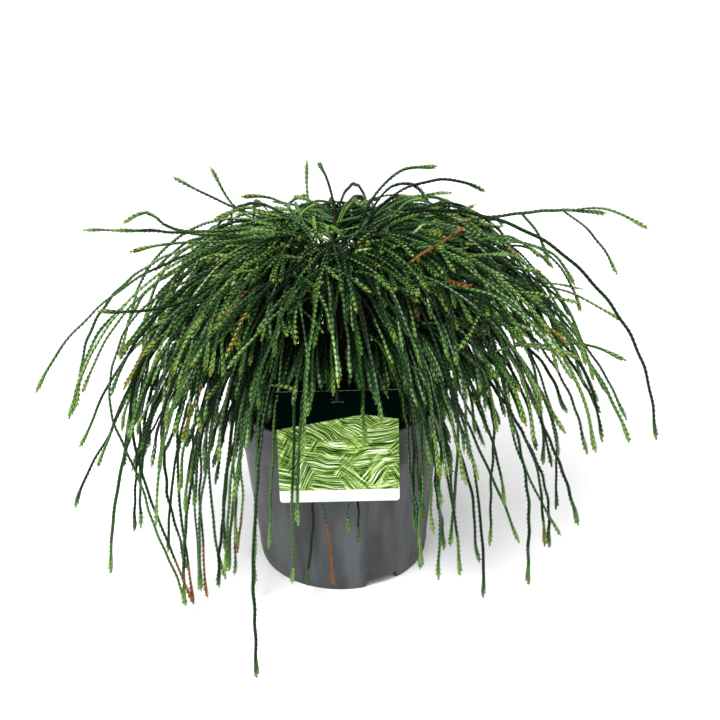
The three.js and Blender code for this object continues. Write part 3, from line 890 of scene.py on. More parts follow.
def lerp(a: float, b: float, share: float) -> float:
    """Returns the value a share of the way from a to b."""
    return (1 - share) * a + share * b


class Layer(Enum):
    """The two layers of foliage masses."""

    CAP = "cap"
    SKIRT = "skirt"


@dataclass(frozen=True)
class StemSize:
    """Sizes of the woody stem inside a mass and of the bough that leads to it."""

    radius: float
    height: float
    lift: float
    level: float
    length: float
    leave: float
    arch: float


@dataclass(frozen=True)
class HabitRange:
    """Ranges that the habit of a cord is drawn from."""

    spread: float
    drift: float
    lift: float
    fade: float
    play: float
    droop: float
    sag: float
    bend: float
    late: float
    shortest: float
    more: float
    parting: float


@dataclass(frozen=True)
class CordHabit:
    """How one cord grows, and the share of its length it has to reach."""

    azimuth: float
    drift: float
    lift: float
    droop: float
    bend: float
    length: float
    least: float


@dataclass(frozen=True)
class CordRule:
    """Sizes of the cords of one order: radius, clearance, step and swell."""

    radius: float
    clear: float
    step: float
    tooth: float
    root_steps: int


class Order(Enum):
    """Orders of cords: those of the solids, and the finer ones that fill the crown."""

    LEAD = "lead"
    BODY = "body"
    CREST = "crest"
    INNER = "inner"


class Root(Enum):
    """What a finer cord leaves from."""

    STEM = "stem"
    LIMB = "limb"
    CORD = "cord"


@dataclass(frozen=True)
class FinePlan:
    """How many cords of a finer order a mass has, and how they grow."""

    order: Order
    layer: Layer
    count: int
    habits: HabitRange
    root: Root
    first: float
    last: float
    wander: float
    sides: float
    thin: float = 0.0
    rear: float = 0.0
    looseness: float = 1.0


@dataclass
class Cord:
    """One grown cord: its path and what it is made of."""

    path: np.ndarray
    order: Order
    bare: float = 0.0
    dead: float = 0.0
    # Depth under the crown's outside, which deals darker leaf tints to deeper cords as painted shade
    depth: float = 0.0
    seed: int = 0


@dataclass
class Mass:
    """One foliage mass with its bough, its stem and its cords."""

    layer: Layer
    index: int
    number: int
    azimuth: float
    half_width: float
    stem: list[Point] = field(default_factory=list)
    bough: list[Point] = field(default_factory=list)
    cords: list[Cord] = field(default_factory=list)

    @property
    def label(self) -> str:
        """Returns the name that the mass and its bough share."""
        return f"{self.layer.value}_{self.index + 1:02d}"


# First seeds of the cords that are laid out one by one, and the lowest of all other cords
LISTED_SEED = 800
WHIP_SEED = 900
FORK_SEED = 950
FRONT_SEED = 970
FIRST_DRAWN_SEED = 1000
LEAD_RULE = CordRule(radius=3.3, clear=0.9, step=44.0, tooth=0.16, root_steps=2)
FINE_RULE = CordRule(radius=1.5, clear=0.9, step=22.0, tooth=0.0, root_steps=4)

CAP_HABIT = HabitRange(
    spread=1.045, drift=0.095, lift=34, fade=38, play=34, droop=-66, sag=22,
    bend=0.6, late=0.5, shortest=150, more=220, parting=0.45,
)
SKIRT_HABIT = HabitRange(
    spread=1.045, drift=-0.19, lift=16, fade=30, play=30, droop=-74, sag=14,
    bend=0.4, late=0.5, shortest=150, more=210, parting=0.6,
)

FINE_PLANS = (
    FinePlan(
        Order.BODY, Layer.CAP, 60,
        replace(
            CAP_HABIT, spread=1.7, drift=0.0, lift=32, play=54, bend=0.8, late=0.8,
            shortest=110, more=265, parting=0.8,
        ),
        Root.STEM, 0.06, 1.0, 76, 0.4, thin=0.66, looseness=1.6,
    ),
    FinePlan(
        Order.BODY, Layer.CAP, 50,
        replace(
            CAP_HABIT, spread=1.6, drift=0.0, lift=14, fade=0, play=60, bend=0.6, late=0.7,
            shortest=80, more=190, parting=0.7,
        ),
        Root.CORD, 0.06, 0.4, 80, 0.3, thin=0.5, looseness=1.6,
    ),
    FinePlan(
        Order.BODY, Layer.SKIRT, 32,
        replace(SKIRT_HABIT, spread=1.9, drift=-0.2, shortest=85, more=225, parting=0.6),
        Root.STEM, 0.06, 1.0, 50, 0.4, thin=0.8, rear=0.5, looseness=1.8,
    ),
    FinePlan(
        Order.INNER, Layer.SKIRT, 38,
        HabitRange(
            spread=1.9, drift=0.0, lift=6, fade=26, play=60, droop=-84, sag=4,
            bend=0.45, late=0.6, shortest=60, more=140, parting=0.4,
        ),
        Root.LIMB, 0.1, 0.75, 40, 0.3, thin=0.5, rear=2.2, looseness=1.5,
    ),
)
# Grown last, across the bounds between the cap masses, to close the top of the crown
CREST_PLANS = (
    FinePlan(
        Order.CREST, Layer.CAP, 22,
        HabitRange(
            spread=6.0, drift=-0.1, lift=28, fade=14, play=60, droop=-2, sag=60,
            bend=0.9, late=0.8, shortest=60, more=130, parting=0.15,
        ),
        Root.STEM, 0.0, 1.0, 110, 0.4, thin=0.1, looseness=9.0,
    ),
    FinePlan(
        Order.CREST, Layer.CAP, 25,
        HabitRange(
            spread=4.4, drift=-0.3, lift=26, fade=0, play=70, droop=-10, sag=60,
            bend=0.9, late=0.7, shortest=48, more=100, parting=0.3,
        ),
        Root.CORD, 0.08, 0.65, 100, 0.3, thin=0.6, looseness=3.0,
    ),
    FinePlan(
        Order.CREST, Layer.CAP, 16,
        HabitRange(
            spread=5.5, drift=-0.4, lift=30, fade=0, play=70, droop=-20, sag=60,
            bend=0.8, late=0.6, shortest=30, more=55, parting=0.3,
        ),
        Root.CORD, 0.04, 0.4, 140, 0.2, thin=0.4, looseness=5.0,
    ),
)

# Mass, share of its stem, azimuth, drift, lift, droop, bend and length of each long whip
WHIPS = (
    ("cap_06", 0.81, -80, 2, 2, -62, 1.11, 320),
    ("cap_06", 1, -74, 3, 17, -83, 0.29, 440),
    ("cap_05", 0.3, -95, -5, 8, -82, 1.19, 365),
    ("cap_05", 0.24, -104, 1, 1, -4, 2.5, 260),
    ("cap_05", 0.36, -112, -1, 9, 21, 0.54, 165),
    ("cap_05", 0.5, -122, -2, -3, 83, 2.35, 140),
    ("cap_04", 0.3, -153, -29, -11, 84, 2.33, 155),
    ("cap_04", 0.89, -166, 2, 36, -80, 2.16, 110),
    ("cap_03", 0.25, 133, -7, 75, -20, 0.99, 140),
    ("cap_03", 0.4, 113, -1, 64, -35, 0.84, 165),
    ("cap_02", 0.55, 75, 1, 68, -84, 0.53, 445),
    ("cap_02", 0.8, 66, 3, 4, -72, 0.25, 385),
    ("cap_01", 0.74, -32, 27, 33, -87, 0.3, 465),
    ("skirt_13", 0.42, -51, 14, 49, -86, 0.21, 345),
    ("skirt_14", 1, -38, 0, -20, -84, 0.27, 270),
    ("skirt_03", 0.5, 58, 8, -39, -68, 0.34, 285),
    ("skirt_15", 0.78, -17, 0, 4, -84, 0.24, 205),
    ("skirt_15", 0.65, -10, -2, 4, -78, 0.24, 180),
    ("skirt_01", 0.7, 10, 0, 4, -80, 0.24, 120),
    ("cap_03", 0.21, 97, -2, 9, -10, 2.65, 270),
)
# Forks of the last whip: start step, turn, lift, droop, bend and length
FORKS = (
    (5, -6, 14, -40, 1, 95),
    (5, 14, -30, -64, 0.8, 110),
    (4, 30, -40, -66, 0.8, 75),
)
# Length of the woody whip that has no leaves
BARE_WHIP = 125.0
# Finer cords that hang in the open front: the same values as the long whips
FRONT_CORDS = (
    ("cap_01", 0.92, -2, 0, 4, -86, 0.32, 150),
    ("cap_01", 0.55, 33, -4, 8, -84, 0.36, 140),
    ("cap_01", 0.86, -18, 2, 6, -86, 0.34, 105),
    ("skirt_14", 0.5, -42, 0, 8, -86, 0.3, 300),
    ("skirt_14", 0.75, -34, 0, 0, -86, 0.3, 245),
    ("skirt_14", 0.35, -40, 2, 14, -86, 0.3, 280),
    ("skirt_13", 0.9, -54, 2, 4, -85, 0.3, 285),
    ("skirt_02", 0.5, 40, 0, 8, -86, 0.3, 290),
    ("skirt_02", 0.8, 46, 0, 4, -86, 0.3, 300),
    ("skirt_02", 0.3, 34, 2, 12, -86, 0.3, 240),
)
# Cords drawn point by point: mass, share that is dead, and points
DRAWN_CORDS = (
    # Between the rim and the card
    ("skirt_15", 0, (-24, -100, 290), (-33, -107.5, 255), (-34.5, -112.5, 230), (-34, -117.5, 207),
     (-33, -118, 192), (-25, -119, 142), (-31, -117, 80), (-37, -115, 24)),
    ("skirt_15", 0.28, (-18, -98, 288), (-29, -107.5, 255), (-31, -112.5, 230), (-31, -118, 207),
     (-29, -119.5, 192), (-19, -120, 142), (-12, -119, 90), (-10, -117, 24)),
    ("skirt_01", 0, (22, -99, 288), (28, -107.5, 255), (31, -112.5, 230), (31, -118, 207),
     (26, -120, 188), (5, -121, 145), (6, -120, 112), (9, -118, 92)),
    ("skirt_01", 0, (27, -100, 286), (33, -107.5, 255), (35, -112.5, 230), (35, -117, 207),
     (32, -119, 188), (14, -120, 145), (15, -119, 110), (18, -117, 82)),
    # Alone round the crown and the pot
    ("cap_06", 0, (-131, -20, 394), (-150, -24, 394), (-170, -28, 398), (-194, -32, 404),
     (-218, -36, 402)),
    ("cap_06", 0, (-130, -30, 385), (-154, -40, 394), (-173, -46, 393), (-199, -54, 388)),
    ("cap_05", 0, (-139, 0, 385), (-159, 0, 387), (-176, 0, 392), (-181, 0, 405), (-190, 0, 416),
     (-200, 0, 410), (-215, 0, 399)),
    ("cap_06", 0, (-149, -110, 342), (-176, -120, 351), (-199, -126, 353), (-220, -130, 356)),
    ("cap_05", 0, (-76, 40, 398), (-93, 40, 403), (-108, 38, 399), (-119, 34, 390)),
    ("cap_05", 0, (-37, 60, 394), (-63, 60, 404), (-81, 58, 410), (-95, 54, 408)),
    ("cap_03", 0, (38, 60, 397), (55, 60, 408), (71, 60, 416), (82, 60, 418), (92, 60, 410),
     (101, 56, 397)),
    ("cap_03", 0, (65, 50, 395), (81, 50, 403), (97, 50, 408), (113, 50, 410), (124, 50, 407)),
    ("cap_06", 0, (-163, -60, 375), (-208, -80, 339), (-235, -95, 286), (-238, -105, 240),
     (-219, -112, 209), (-204, -122, 162), (-186, -132, 80), (-168, -140, 21)),
    ("cap_06", 0.12, (-148, -70, 363), (-196, -96, 313), (-216, -108, 254), (-214, -116, 199),
     (-196, -126, 151), (-179, -136, 88), (-160, -142, 24)),
    ("skirt_12", 0, (-168, -40, 340), (-204, -50, 278), (-230, -56, 198), (-262, -60, 155),
     (-280, -62, 129), (-291, -62, 97)),
    ("skirt_13", 0, (-149, -90, 371), (-193, -100, 307), (-217, -104, 248), (-236, -106, 203),
     (-248, -106, 172)),
    ("skirt_13", 0, (-156, -70, 342), (-179, -90, 262), (-186, -100, 198), (-183, -106, 141),
     (-175, -112, 95), (-166, -120, 52)),
    ("skirt_13", 0.14, (-145, -70, 330), (-166, -96, 242), (-171, -108, 179), (-168, -118, 112),
     (-162, -128, 68), (-159, -140, 22)),
    ("skirt_13", 0, (-130, -80, 323), (-149, -100, 244), (-155, -110, 180), (-151, -120, 112),
     (-149, -126, 79), (-153, -136, 36)),
    ("skirt_13", 0.2, (-123, -60, 303), (-145, -90, 215), (-150, -104, 152), (-146, -122, 88),
     (-144, -140, 29)),
    ("skirt_14", 0, (-114, -80, 312), (-131, -100, 244), (-136, -108, 178), (-137, -114, 121),
     (-133, -120, 80), (-126, -128, 45)),
    ("skirt_14", 0, (-95, -90, 305), (-106, -108, 236), (-111, -114, 181), (-106, -118, 135),
     (-108, -120, 92), (-116, -126, 49)),
    ("skirt_14", 0.18, (-86, -90, 294), (-101, -108, 224), (-105, -114, 169), (-101, -117, 134),
     (-97, -118, 115), (-110, -122, 75)),
    ("skirt_12", 0, (-178, -10, 339), (-232, -16, 262), (-255, -20, 204), (-272, -22, 174),
     (-288, -22, 150)),
    ("skirt_03", 0, (136, -60, 363), (165, -80, 305), (171, -92, 232), (180, -98, 176),
     (198, -100, 127), (235, -100, 71)),
    ("skirt_02", 0, (93, -104, 350), (108, -122, 294), (105, -128, 219), (99, -130, 137),
     (103, -130, 40)),
    ("skirt_02", 0, (103, -96, 357), (124, -112, 299), (125, -120, 214), (119, -122, 144),
     (115, -122, 76)),
    ("skirt_03", 0, (135, -70, 345), (160, -90, 288), (163, -98, 200), (158, -100, 128),
     (159, -100, 60)),
    ("skirt_02", 0, (83, -110, 342), (92, -126, 285), (86, -132, 210), (78, -134, 128),
     (83, -134, 58)),
    ("skirt_14", 0, (-73, -100, 298), (-81, -112, 249), (-84, -118, 194), (-86, -122, 137),
     (-91, -124, 82), (-95, -126, 34)),
    ("skirt_14", 0, (-53, -108, 305), (-61, -119, 248), (-68, -120, 193), (-72, -119, 134),
     (-77, -119, 77)),
    ("skirt_15", 0, (-38, -104, 307), (-42, -122, 253), (-47, -131, 201), (-48, -137, 146),
     (-49, -137, 90), (-53, -136, 43)),
    ("skirt_01", 0, (56, -108, 321), (66, -120, 272), (68, -128, 220), (74, -132, 163),
     (80, -131, 101), (84, -130, 53)),
    ("skirt_02", 0, (64, -108, 326), (73, -118, 276), (76, -125, 218), (76, -127, 160),
     (78, -126, 97)),
    ("skirt_02", 0, (70, -104, 319), (81, -114, 268), (84, -121, 215), (85, -124, 158),
     (86, -124, 114)),
    ("skirt_02", 0, (76, -104, 318), (89, -113, 256), (96, -118, 190), (102, -121, 131),
     (108, -122, 73)),
    ("skirt_02", 0, (84, -92, 324), (100, -104, 263), (110, -110, 196), (120, -113, 116)),
    # Over the crown's outside, dead at their ends
    ("cap_02", 0.52, (58, -100, 370), (66, -116, 386), (74, -118, 395), (83, -106, 397),
     (95, -84, 396), (111, -54, 396), (130, -32, 395)),
    ("cap_06", 0.3, (-77, -122, 373), (-84, -130, 371), (-92, -130, 363), (-100, -128, 354),
     (-106, -124, 345)),
    ("cap_02", 0.2, (108, -112, 369), (115, -124, 376), (122, -126, 377), (128, -124, 375)),
    ("cap_01", 0.35, (-21, -66, 377), (-22, -74, 372), (-23, -80, 365), (-24, -86, 358)),
)


@dataclass
class Growth:
    """Grows the cords of every mass, first as in the solids and then the finer ones."""

    caps: int = 6
    skirts: int = 15
    cap_first: float = 0.0
    skirt_first: float = 12.0
    cap_stem: StemSize = StemSize(17, 354, 62, 0.9, 66, 20, 0.24)
    skirt_stem: StemSize = StemSize(48, 296, 34, 0.5, 70, 16, 0.33)
    foot_heights: tuple[float, ...] = (7, 15.5, 24)
    cap_foot_height: float = 34
    soil: float = 197.3
    trunk_azimuth: float = -60
    trunk_lift: float = 88
    bough_foot: float = 3.3
    bough_tip: float = 2.9
    limb_steps: int = 5
    dome_base: float = 60
    dome_rise: float = 300
    dome_reach: float = 250
    front_cut: float = 78
    front_spread: float = 42
    parting_spread: float = 20
    first_root: float = 0.06
    least_grown: float = 0.55
    whip_least: float = 0.5
    cap_cords: int = 10
    skirt_cords: int = 8
    tries_per_cord: int = 7
    side_share: float = 0.2
    side_turn: float = 26
    side_lift: float = 10
    side_droop: float = -80
    side_bend: float = 0.8
    side_least: float = 0.6
    side_first: int = 2
    side_steps: int = 2
    steer_tries: int = 16
    steer_lift: float = 6
    steer_turn: float = 4
    steepest_fall: float = -88
    steepest_rise: float = 70
    stray: float = 0.5
    ground_clear: float = 13
    seed: int = 4127
    card: CardPrint = CardPrint()
    fine_tries: int = 4
    drawn_root: float = 0.6
    sharpest_turn: float = 48
    outward_from: float = 105
    card_sight: float = 262
    card_margin: float = 3
    card_front: float = -90
    window_azimuth: float = 4
    window_spread: float = 27
    ceiling: float = 405
    ceiling_left: float = 0.42
    left_from: float = 64
    ceiling_right: float = 0.34
    right_from: float = 112
    hub_dip: float = 24
    hub_radius: float = 90
    ceiling_back: float = 0.26
    ceiling_round: float = 1700
    stand_out: float = 20
    headroom: float = 0
    outreach: float = 300
    least_outreach: float = 232
    more_outreach: float = 40
    right_further: float = 52
    right_short: float = 0.55
    left_short: float = 0.22
    right_fuller: float = 0.8
    front_leads: int = 2
    looseness: float = 1.0
    rule: CordRule = LEAD_RULE
    order: Order = Order.LEAD
    reach: tuple[Vector, Vector] = (Vector(), Vector())
    masses: list[Mass] = field(default_factory=list)
    lengths: list[tuple[Point, Point, float, int]] = field(default_factory=list)
    arrays: tuple[np.ndarray, ...] | None = None

    # Limbs

    def trunk_point(self, height: float) -> Point:
        """Returns the point of the trunk's axis at a height above the mix."""
        return stepped((0, 0, self.soil), direction(self.trunk_azimuth, self.trunk_lift), height)

    def stem_size(self, mass: Mass) -> StemSize:
        """Returns the stem sizes of a mass's layer."""
        return self.cap_stem if mass.layer is Layer.CAP else self.skirt_stem

    def mass_stem(self, mass: Mass) -> list[Point]:
        """Lays out the stem of a mass, which bends a little towards level.

        Args:
            mass: The mass.

        Returns:
            Points from its foot to its tip.
        """
        size = self.stem_size(mass)
        out = direction(mass.azimuth, 0)
        path = [stepped((0, 0, size.height), out, size.radius)]
        steps = self.limb_steps - 1
        for i in range(steps):
            lift = size.lift * (1 - size.level * i / steps)
            path.append(stepped(path[i], direction(mass.azimuth, lift), size.length / steps))
        return path

    def bough_path(self, mass: Mass) -> list[Point]:
        """Lays out the bough that leads to a mass.

        Args:
            mass: The mass.

        Returns:
            Points from the trunk to the foot of the stem.
        """
        size = self.stem_size(mass)
        rank = self.foot_heights[mass.index % len(self.foot_heights)]
        foot = self.trunk_point(self.cap_foot_height if mass.layer is Layer.CAP else rank)
        heading = direction(mass.azimuth, size.lift)
        end = stepped(mass.stem[0], heading, -SEAT)
        bend = stepped(end, heading, -self.bough_foot)
        reach = math.dist(foot, end) * size.arch
        first = stepped(foot, direction(mass.azimuth, size.leave), reach)
        second = stepped(bend, heading, -reach)
        path: list[Point] = []
        for t in np.linspace(0, 1, self.limb_steps):
            terms = ((1 - t) ** 3, 3 * t * (1 - t) ** 2, 3 * t * t * (1 - t), t**3)
            corners = (foot, first, second, bend)
            point = [sum(w * c[axis] for w, c in zip(terms, corners)) for axis in range(3)]
            path.append(tuple(map(float, point)))
        return [*path, end]

    # Space of each mass

    def dome_height(self, radius: float, azimuth: float) -> float:
        """Works out the surface between the cap and the skirt masses.

        Args:
            radius: Distance from the pot's axis.
            azimuth: Azimuth in degrees.

        Returns:
            Its height, or minus infinity beyond it.
        """
        turn = turn_between(azimuth, 0) / self.front_spread
        share = radius / (self.dome_reach - self.front_cut * math.exp(-turn * turn))
        if share >= 1:
            return -math.inf
        return self.dome_base + self.dome_rise * math.sqrt(1 - share**3)

    def strays(self, mass: Mass, point: Point) -> tuple[float, float]:
        """Works out how far a point is outside the space of its mass.

        Args:
            mass: The mass.
            point: Point in millimetres.

        Returns:
            Distances past the dome between the layers and past the sides of the mass's
            sector, below 0 inside.
        """
        radius = math.hypot(point[0], point[1])
        room = self.rule.radius + self.rule.clear
        over = point[2] - self.dome_height(radius, azimuth_of(point))
        past_dome = room - over if mass.layer is Layer.CAP else over + room
        half = mass.half_width * self.looseness
        if half >= 180:
            return past_dome, -math.inf
        turn = min(abs(turn_between(azimuth_of(point), mass.azimuth)), 90 * self.looseness)
        return past_dome, room - radius * math.sin(math.radians(half - turn))

    def touches_pot(self, point: Point) -> bool:
        """Tells whether a point is too near the pot.

        Args:
            point: Point in millimetres.

        Returns:
            True if it is.
        """
        radius = math.hypot(point[0], point[1])
        room = self.rule.radius * 2
        if point[2] > POT_HEIGHT + room:
            return False
        if radius < POT_RIM + room and point[2] > COLLAR_HEIGHT - room:
            return True
        return radius < BODY_TOP + room

    def touches_card(self, point: Point) -> bool:
        """Tells whether a point is too near the card.

        Args:
            point: Point in millimetres.

        Returns:
            True if it is.
        """
        turn = math.radians(self.card.lean)
        y = point[1] + POT_RIM + SEAT
        z = point[2] - POT_HEIGHT
        room = self.rule.radius + self.card.thick + self.rule.clear
        up = y * math.sin(turn) + z * math.cos(turn)
        out = -y * math.cos(turn) + z * math.sin(turn)
        beside = abs(point[0]) > self.card.half_width + room
        past = up > self.card.above + room or up < -self.card.below - room
        return not beside and not past and abs(out) < room

    def before_card(self, point: Sequence[float]) -> bool:
        """Tells whether a cord at a point would hide the card."""
        near = abs(point[0]) <= self.card.half_width + self.card_margin
        return near and point[1] <= self.card_front and point[2] < self.card_sight

    def fine_may_reach(self, point: Point) -> bool:
        """Tells whether a finer cord may go to a point, inside the solids' reach.

        Args:
            point: Point in millimetres.

        Returns:
            True if it may.
        """
        low, high = self.reach
        if not all(low[i] <= point[i] <= high[i] for i in range(3)):
            return False
        radius = math.hypot(point[0], point[1])
        if radius > self.outreach + self.right_further * max(0.0, point[0] / radius):
            return False
        level = max(radius**2 / self.ceiling_round, self.ceiling_back * point[1])
        level += self.ceiling_left * max(0.0, -point[0] - self.left_from)
        level += self.ceiling_right * max(0.0, point[0] - self.right_from)
        level += self.hub_dip * max(0.0, 1 - radius / self.hub_radius)
        headroom = self.headroom * min(1.0, radius / self.hub_radius)
        if point[2] > self.ceiling + headroom - level:
            return False
        return not self.before_card(point)

    def bends_sharply(self, path: Sequence[Point], after: Point) -> bool:
        """Tells whether a cord would turn more in one step than a finer one can.

        Args:
            path: Points so far.
            after: The next point.

        Returns:
            True if it would.
        """
        if len(path) < 2:
            return False
        came = Vector(path[-1]) - Vector(path[-2])
        return came.angle(Vector(after) - Vector(path[-1])) > math.radians(self.sharpest_turn)

    # Everything already in place, as short straight lengths with a radius

    def place(self, path: Sequence[Point], radius: float, owner: int) -> None:
        """Puts a path among the lengths already in place.

        Args:
            path: Points in millimetres.
            radius: Radius of the lengths.
            owner: Number of the mass that they belong to.
        """
        for a, b in zip(path, path[1:]):
            self.lengths.append((tuple(a), tuple(b), radius, owner))
        self.arrays = None

    def blocked(self, start: Point, end: Point, owner: int, near_root: bool) -> bool:
        """Tells whether a new length would touch one already in place.

        Args:
            start: First point of the length.
            end: Last point of the length.
            owner: Number of the mass that grows it.
            near_root: True where lengths of the same mass are passed over.

        Returns:
            True if it would touch.
        """
        if self.arrays is None:
            starts, ends, radii, owners = map(np.array, zip(*self.lengths))
            self.arrays = (starts, ends - starts, radii, owners)
        base, along, radii, owners = self.arrays
        if near_root:
            keep = owners != owner
            base, along, radii = base[keep], along[keep], radii[keep]
        if not len(base):
            return False
        step = np.subtract(end, start)
        away = np.array(start) - base
        a = float(step @ step)
        e = np.einsum("ij,ij->i", along, along)
        f = np.einsum("ij,ij->i", along, away)
        c = away @ step
        b = along @ step
        spread = a * e - b * b
        safe = np.where(spread == 0, 1.0, spread)
        s = np.where(spread == 0, 0.0, np.clip((b * f - c * e) / safe, 0, 1))
        t = (b * s + f) / e
        s = np.where(t < 0, np.clip(-c / a, 0, 1), np.where(t > 1, np.clip((b - c) / a, 0, 1), s))
        t = np.clip(t, 0, 1)
        gap = away + s[:, None] * step - t[:, None] * along
        room = self.rule.radius * (1 + self.rule.tooth) + radii + self.rule.clear
        return bool((np.einsum("ij,ij->i", gap, gap) < room * room).any())

    # Cords

    def steer(self, mass: Mass, here: Point, azimuth: float, lift: float, step: float) -> Point:
        """Takes the next step of a cord, turned back where it would leave its space.

        Args:
            mass: The mass.
            here: Last point.
            azimuth: Azimuth of the heading.
            lift: Rise of the heading above level.
            step: Distance.

        Returns:
            The next point.
        """
        after = stepped(here, direction(azimuth, lift), step)
        for _ in range(self.steer_tries):
            past_dome, past_side = self.strays(mass, after)
            if past_dome <= 0 and past_side <= 0:
                break
            if past_dome > 0:
                lift += self.steer_lift if mass.layer is Layer.CAP else -self.steer_lift
                lift = min(max(lift, self.steepest_fall), self.steepest_rise)
            if past_side > 0:
                turn = turn_between(mass.azimuth, azimuth_of(after))
                azimuth += math.copysign(self.steer_turn, turn) if turn else 0.0
            after = stepped(here, direction(azimuth, lift), step)
        return after

    def grow_cord(self, mass: Mass, root: Point, habit: CordHabit) -> list[Point] | None:
        """Grows one cord step by step.

        Args:
            mass: Mass that it belongs to.
            root: Point where it leaves its stem or cord.
            habit: How it grows.

        Returns:
            Its path, or None where it is stopped too soon.
        """
        path = [root]
        steps = max(2, math.floor(habit.length / self.rule.step + 0.5))
        step = habit.length / steps
        for i in range(steps):
            share = (i + 0.5) / steps
            lift = lerp(habit.lift, habit.droop, share**habit.bend)
            azimuth = habit.azimuth + habit.drift * share
            after = self.steer(mass, path[i], azimuth, lift, step)
            if after[2] < self.ground_clear or max(self.strays(mass, after)) > self.stray:
                break
            if self.touches_pot(after) or self.touches_card(after):
                break
            fine = self.rule is FINE_RULE
            if fine and (not self.fine_may_reach(after) or self.bends_sharply(path, after)):
                break
            if self.blocked(path[i], after, mass.number, i < self.rule.root_steps):
                break
            path.append(after)
        return path if len(path) > max(2, steps * habit.least) else None

    def stem_point(self, stem: Sequence[Point], share: float) -> Point:
        """Finds the point a share of the way along a stem.

        Args:
            stem: Points of the stem.
            share: Share of the way, from 0 to 1.

        Returns:
            The point.
        """
        at = share * (len(stem) - 1)
        i = min(math.floor(at), len(stem) - 2)
        return tuple(lerp(stem[i][axis], stem[i + 1][axis], at - i) for axis in range(3))

    def front_window(self, azimuth: float) -> float:
        """Returns how far an azimuth is in the crown's open front, from 0 to 1."""
        turn = turn_between(azimuth, self.window_azimuth) / self.window_spread
        return math.exp(-(turn**4))

    def front_share(self, mass: Mass, azimuth: float, cut: float) -> float:
        """Works out how much of its length a cord keeps where the front is parted.

        Args:
            mass: The mass.
            azimuth: Azimuth of the cord.
            cut: Share that is cut off in the middle of the front.

        Returns:
            The share that stays.
        """
        if self.rule is FINE_RULE:
            sideways = math.sin(math.radians(azimuth))
            shorter = self.right_short if sideways > 0 else self.left_short
            if mass.layer is Layer.CAP:
                shorter = 0.0
            return (1 - cut * self.front_window(azimuth)) * (1 - abs(sideways) * shorter)
        turn = turn_between(azimuth, 0) / self.parting_spread
        return 1 - cut * math.exp(-turn * turn)

    def drawn_habit(self, mass: Mass, draws: Draws, habits: HabitRange) -> tuple[float, CordHabit]:
        """Draws where a cord leaves its stem and how it grows.

        Args:
            mass: The mass.
            draws: Seeded numbers.
            habits: Ranges of the habit.

        Returns:
            Share of the way along the stem, and the habit.
        """
        share = self.first_root + (1 - self.first_root) * draws()
        spread = (2 * draws() - 1) * mass.half_width
        pitch = draws() - 0.5
        fall = draws()
        reach = draws()
        azimuth = mass.azimuth + spread * habits.spread
        length = habits.shortest + habits.more * reach
        habit = CordHabit(
            azimuth=azimuth,
            drift=spread * habits.drift,
            lift=habits.lift - habits.fade * share + habits.play * pitch,
            droop=habits.droop - habits.sag * fall,
            bend=habits.bend + habits.late * fall,
            length=length * self.front_share(mass, azimuth, habits.parting),
            least=self.least_grown,
        )
        return share, habit

    def keep(self, mass: Mass, path: Sequence[Point], first: int, seed: int) -> Cord:
        """Keeps a grown cord and puts it in place.

        Args:
            mass: The mass.
            path: Points of the cord.
            first: First point put in place.
            seed: Seed of the cord.

        Returns:
            The cord.
        """
        cord = Cord(np.array(path), self.order, seed=seed)
        mass.cords.append(cord)
        self.place(path[first:], self.rule.radius * (1 + self.rule.tooth), mass.number)
        return cord

    def grow_listed(
        self, mass: Mass, root: Point, values: Sequence[float], first: int, seed: int
    ) -> Cord | None:
        """Grows a cord from listed values: azimuth, drift, lift, droop, bend and length."""
        path = self.grow_cord(mass, root, CordHabit(*values, self.whip_least))
        return self.keep(mass, path, first, seed) if path else None

    def grow_whips(self, mass: Mass) -> None:
        """Grows the long whips of a mass, and the forks of the woody one, which is the last.

        Args:
            mass: The mass.
        """
        for i, (owner, share, *values) in enumerate(WHIPS):
            if owner != mass.label:
                continue
            root = self.stem_point(mass.stem, share)
            whip = self.grow_listed(mass, root, values, 0, WHIP_SEED + i)
            if whip and i == len(WHIPS) - 1:
                whip.bare = BARE_WHIP
                self.grow_forks(mass, whip.path)

    def grow_forks(self, mass: Mass, whip: np.ndarray) -> None:
        """Grows the forks of the woody whip.

        Args:
            mass: The mass.
            whip: Points of the whip.
        """
        for i, (at, turn, *values) in enumerate(FORKS):
            if at < len(whip) - 1:
                heading = azimuth_of(whip[at + 1] - whip[at])
                values = (heading + turn, 0, *values)
                self.grow_listed(mass, whip[at], values, 1, FORK_SEED + i)

    def grow_side(self, mass: Mass, path: Sequence[Point], draws: Draws, seed: int) -> None:
        """Grows a short side cord from a longer one.

        Args:
            mass: The mass.
            path: Points of the longer cord.
            draws: Seeded numbers.
            seed: Seed of the side cord.
        """
        at = self.side_first + math.floor(draws() * (len(path) - self.side_first - 2))
        turn = -self.side_turn if draws() < 0.5 else self.side_turn
        heading = np.subtract(path[at + 1], path[at])
        heading = heading / np.linalg.norm(heading)
        habit = CordHabit(
            azimuth=azimuth_of(heading) + turn,
            drift=-turn / 2,
            lift=math.degrees(math.asin(heading[2])) + self.side_lift,
            droop=self.side_droop,
            bend=self.side_bend,
            length=self.rule.step * (self.side_steps + math.floor(draws() * 2)),
            least=self.side_least,
        )
        side = self.grow_cord(mass, path[at], habit)
        if side:
            self.keep(mass, side, 1, seed)

